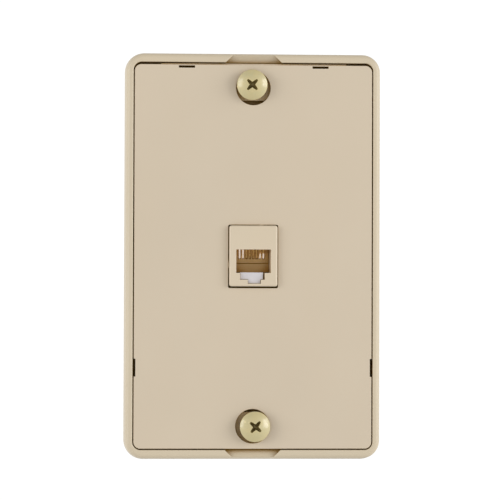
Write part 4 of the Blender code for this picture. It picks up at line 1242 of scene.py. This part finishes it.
def make_softbox(name, azimuth, power):
    """A softbox that faces the plate; azimuth 0 is straight in front, positive to the right."""
    angle = math.radians(azimuth)
    x, y = math.sin(angle) * SOFTBOX_DISTANCE, -math.cos(angle) * SOFTBOX_DISTANCE
    place = Vector((x, y, SOFTBOX_HEIGHT))
    data = bpy.data.lights.new(name, "AREA")
    data.shape = "RECTANGLE"
    data.size, data.size_y = SOFTBOX_SIZE
    data.energy = power
    light = placed(name, data)
    facing = (-place).to_track_quat("-Z", "Y").to_matrix().to_4x4()
    light.matrix_world = Matrix.Translation(place) @ facing


WHITE = (1.0, 1.0, 1.0, 1.0)
BACKDROP = 1.05  # what the eye sees behind the plate
SKY = 0.83  # in front, above
GROUND = 0.9  # in front, below
BEHIND = 0.85
MIDDLE_SHARE = 0.65  # straight in front, against the sides
SIDE_SHARE = 1.15
OVERHEAD_SHARE = 0.4


def make_world():
    """A white tent: bright behind the plate and at both sides, dimmer overhead and straight in front."""
    world = bpy.data.worlds.new("studio")
    n = Nodes(world, "Generated")
    place = n.split()
    soft = "SMOOTHSTEP"
    front = n.ranged(place["Z"], GROUND, SKY, -0.45, 0.35, soft)
    sides = n.ranged(n.maths("ABSOLUTE", place["X"]), MIDDLE_SHARE, SIDE_SHARE, 0.2, 0.95, soft)
    back = n.ranged(place["Y"], 0.0, 1.0, -0.1, 0.2, soft)
    above = n.ranged(place["Z"], 1.0, OVERHEAD_SHARE, 0.4, 0.95, soft)
    around = n.maths("MULTIPLY", front, sides)
    mixed = n.feed(n.add("ShaderNodeMix"), Factor=back, A=around, B=BEHIND)["Result"]
    tent = n.tree.nodes["Background"]
    n.feed(tent, Color=WHITE, Strength=n.maths("MULTIPLY", mixed, above))
    backdrop = n.add("ShaderNodeBackground")
    n.feed(backdrop, Color=WHITE, Strength=BACKDROP)
    either = n.add("ShaderNodeMixShader")
    n.feed(either, Fac=n.add("ShaderNodeLightPath").outputs["Is Camera Ray"])
    n.link(tent.outputs["Background"], either.inputs[1])
    n.link(backdrop.outputs["Background"], either.inputs[2])
    n.feed(n.tree.nodes["World Output"], Surface=either.outputs["Shader"])
    bpy.context.scene.world = world


def make_floor():
    mesh = bmesh.new()
    bmesh.ops.create_circle(mesh, cap_ends=True, segments=ROUND, radius=2.0)
    floor = add_object("studio_floor", mesh)
    floor.location.z = BASE_LOW.z - 0.26
    n = Surface("pale floor")
    tone = n.mix(n.ranged(n.noise(3.0), 0.0, 1.0), (0.88, 0.88, 0.87), (0.92, 0.92, 0.91))
    n.finish(tone, n.ranged(n.noise(12.0), 0.55, 0.7))
    floor.data.materials.append(n.material)
    floor.visible_diffuse = False
    floor.visible_glossy = False


def main():
    make_camera()
    make_world()
    for softbox in SOFTBOXES:
        make_softbox(*softbox)
    make_floor()
    make_base_frame()
    make_face_panel()
    for stud in STUDS:
        make_stud(*stud)
    for place in ("top", "bottom"):
        make_nut(place)
        make_box_screw(place)
        make_rear_screw(f"{place}_board_screw", *BOARD_SCREW, 20)
    make_jack_housing()
    make_latch_insert()
    make_contact_carrier()
    make_contacts()
    make_rear_cap()
    make_terminal_board()
    make_terminals()
    bpy.context.scene.view_settings.view_transform = "Standard"
    bpy.context.view_layer.update()


main()
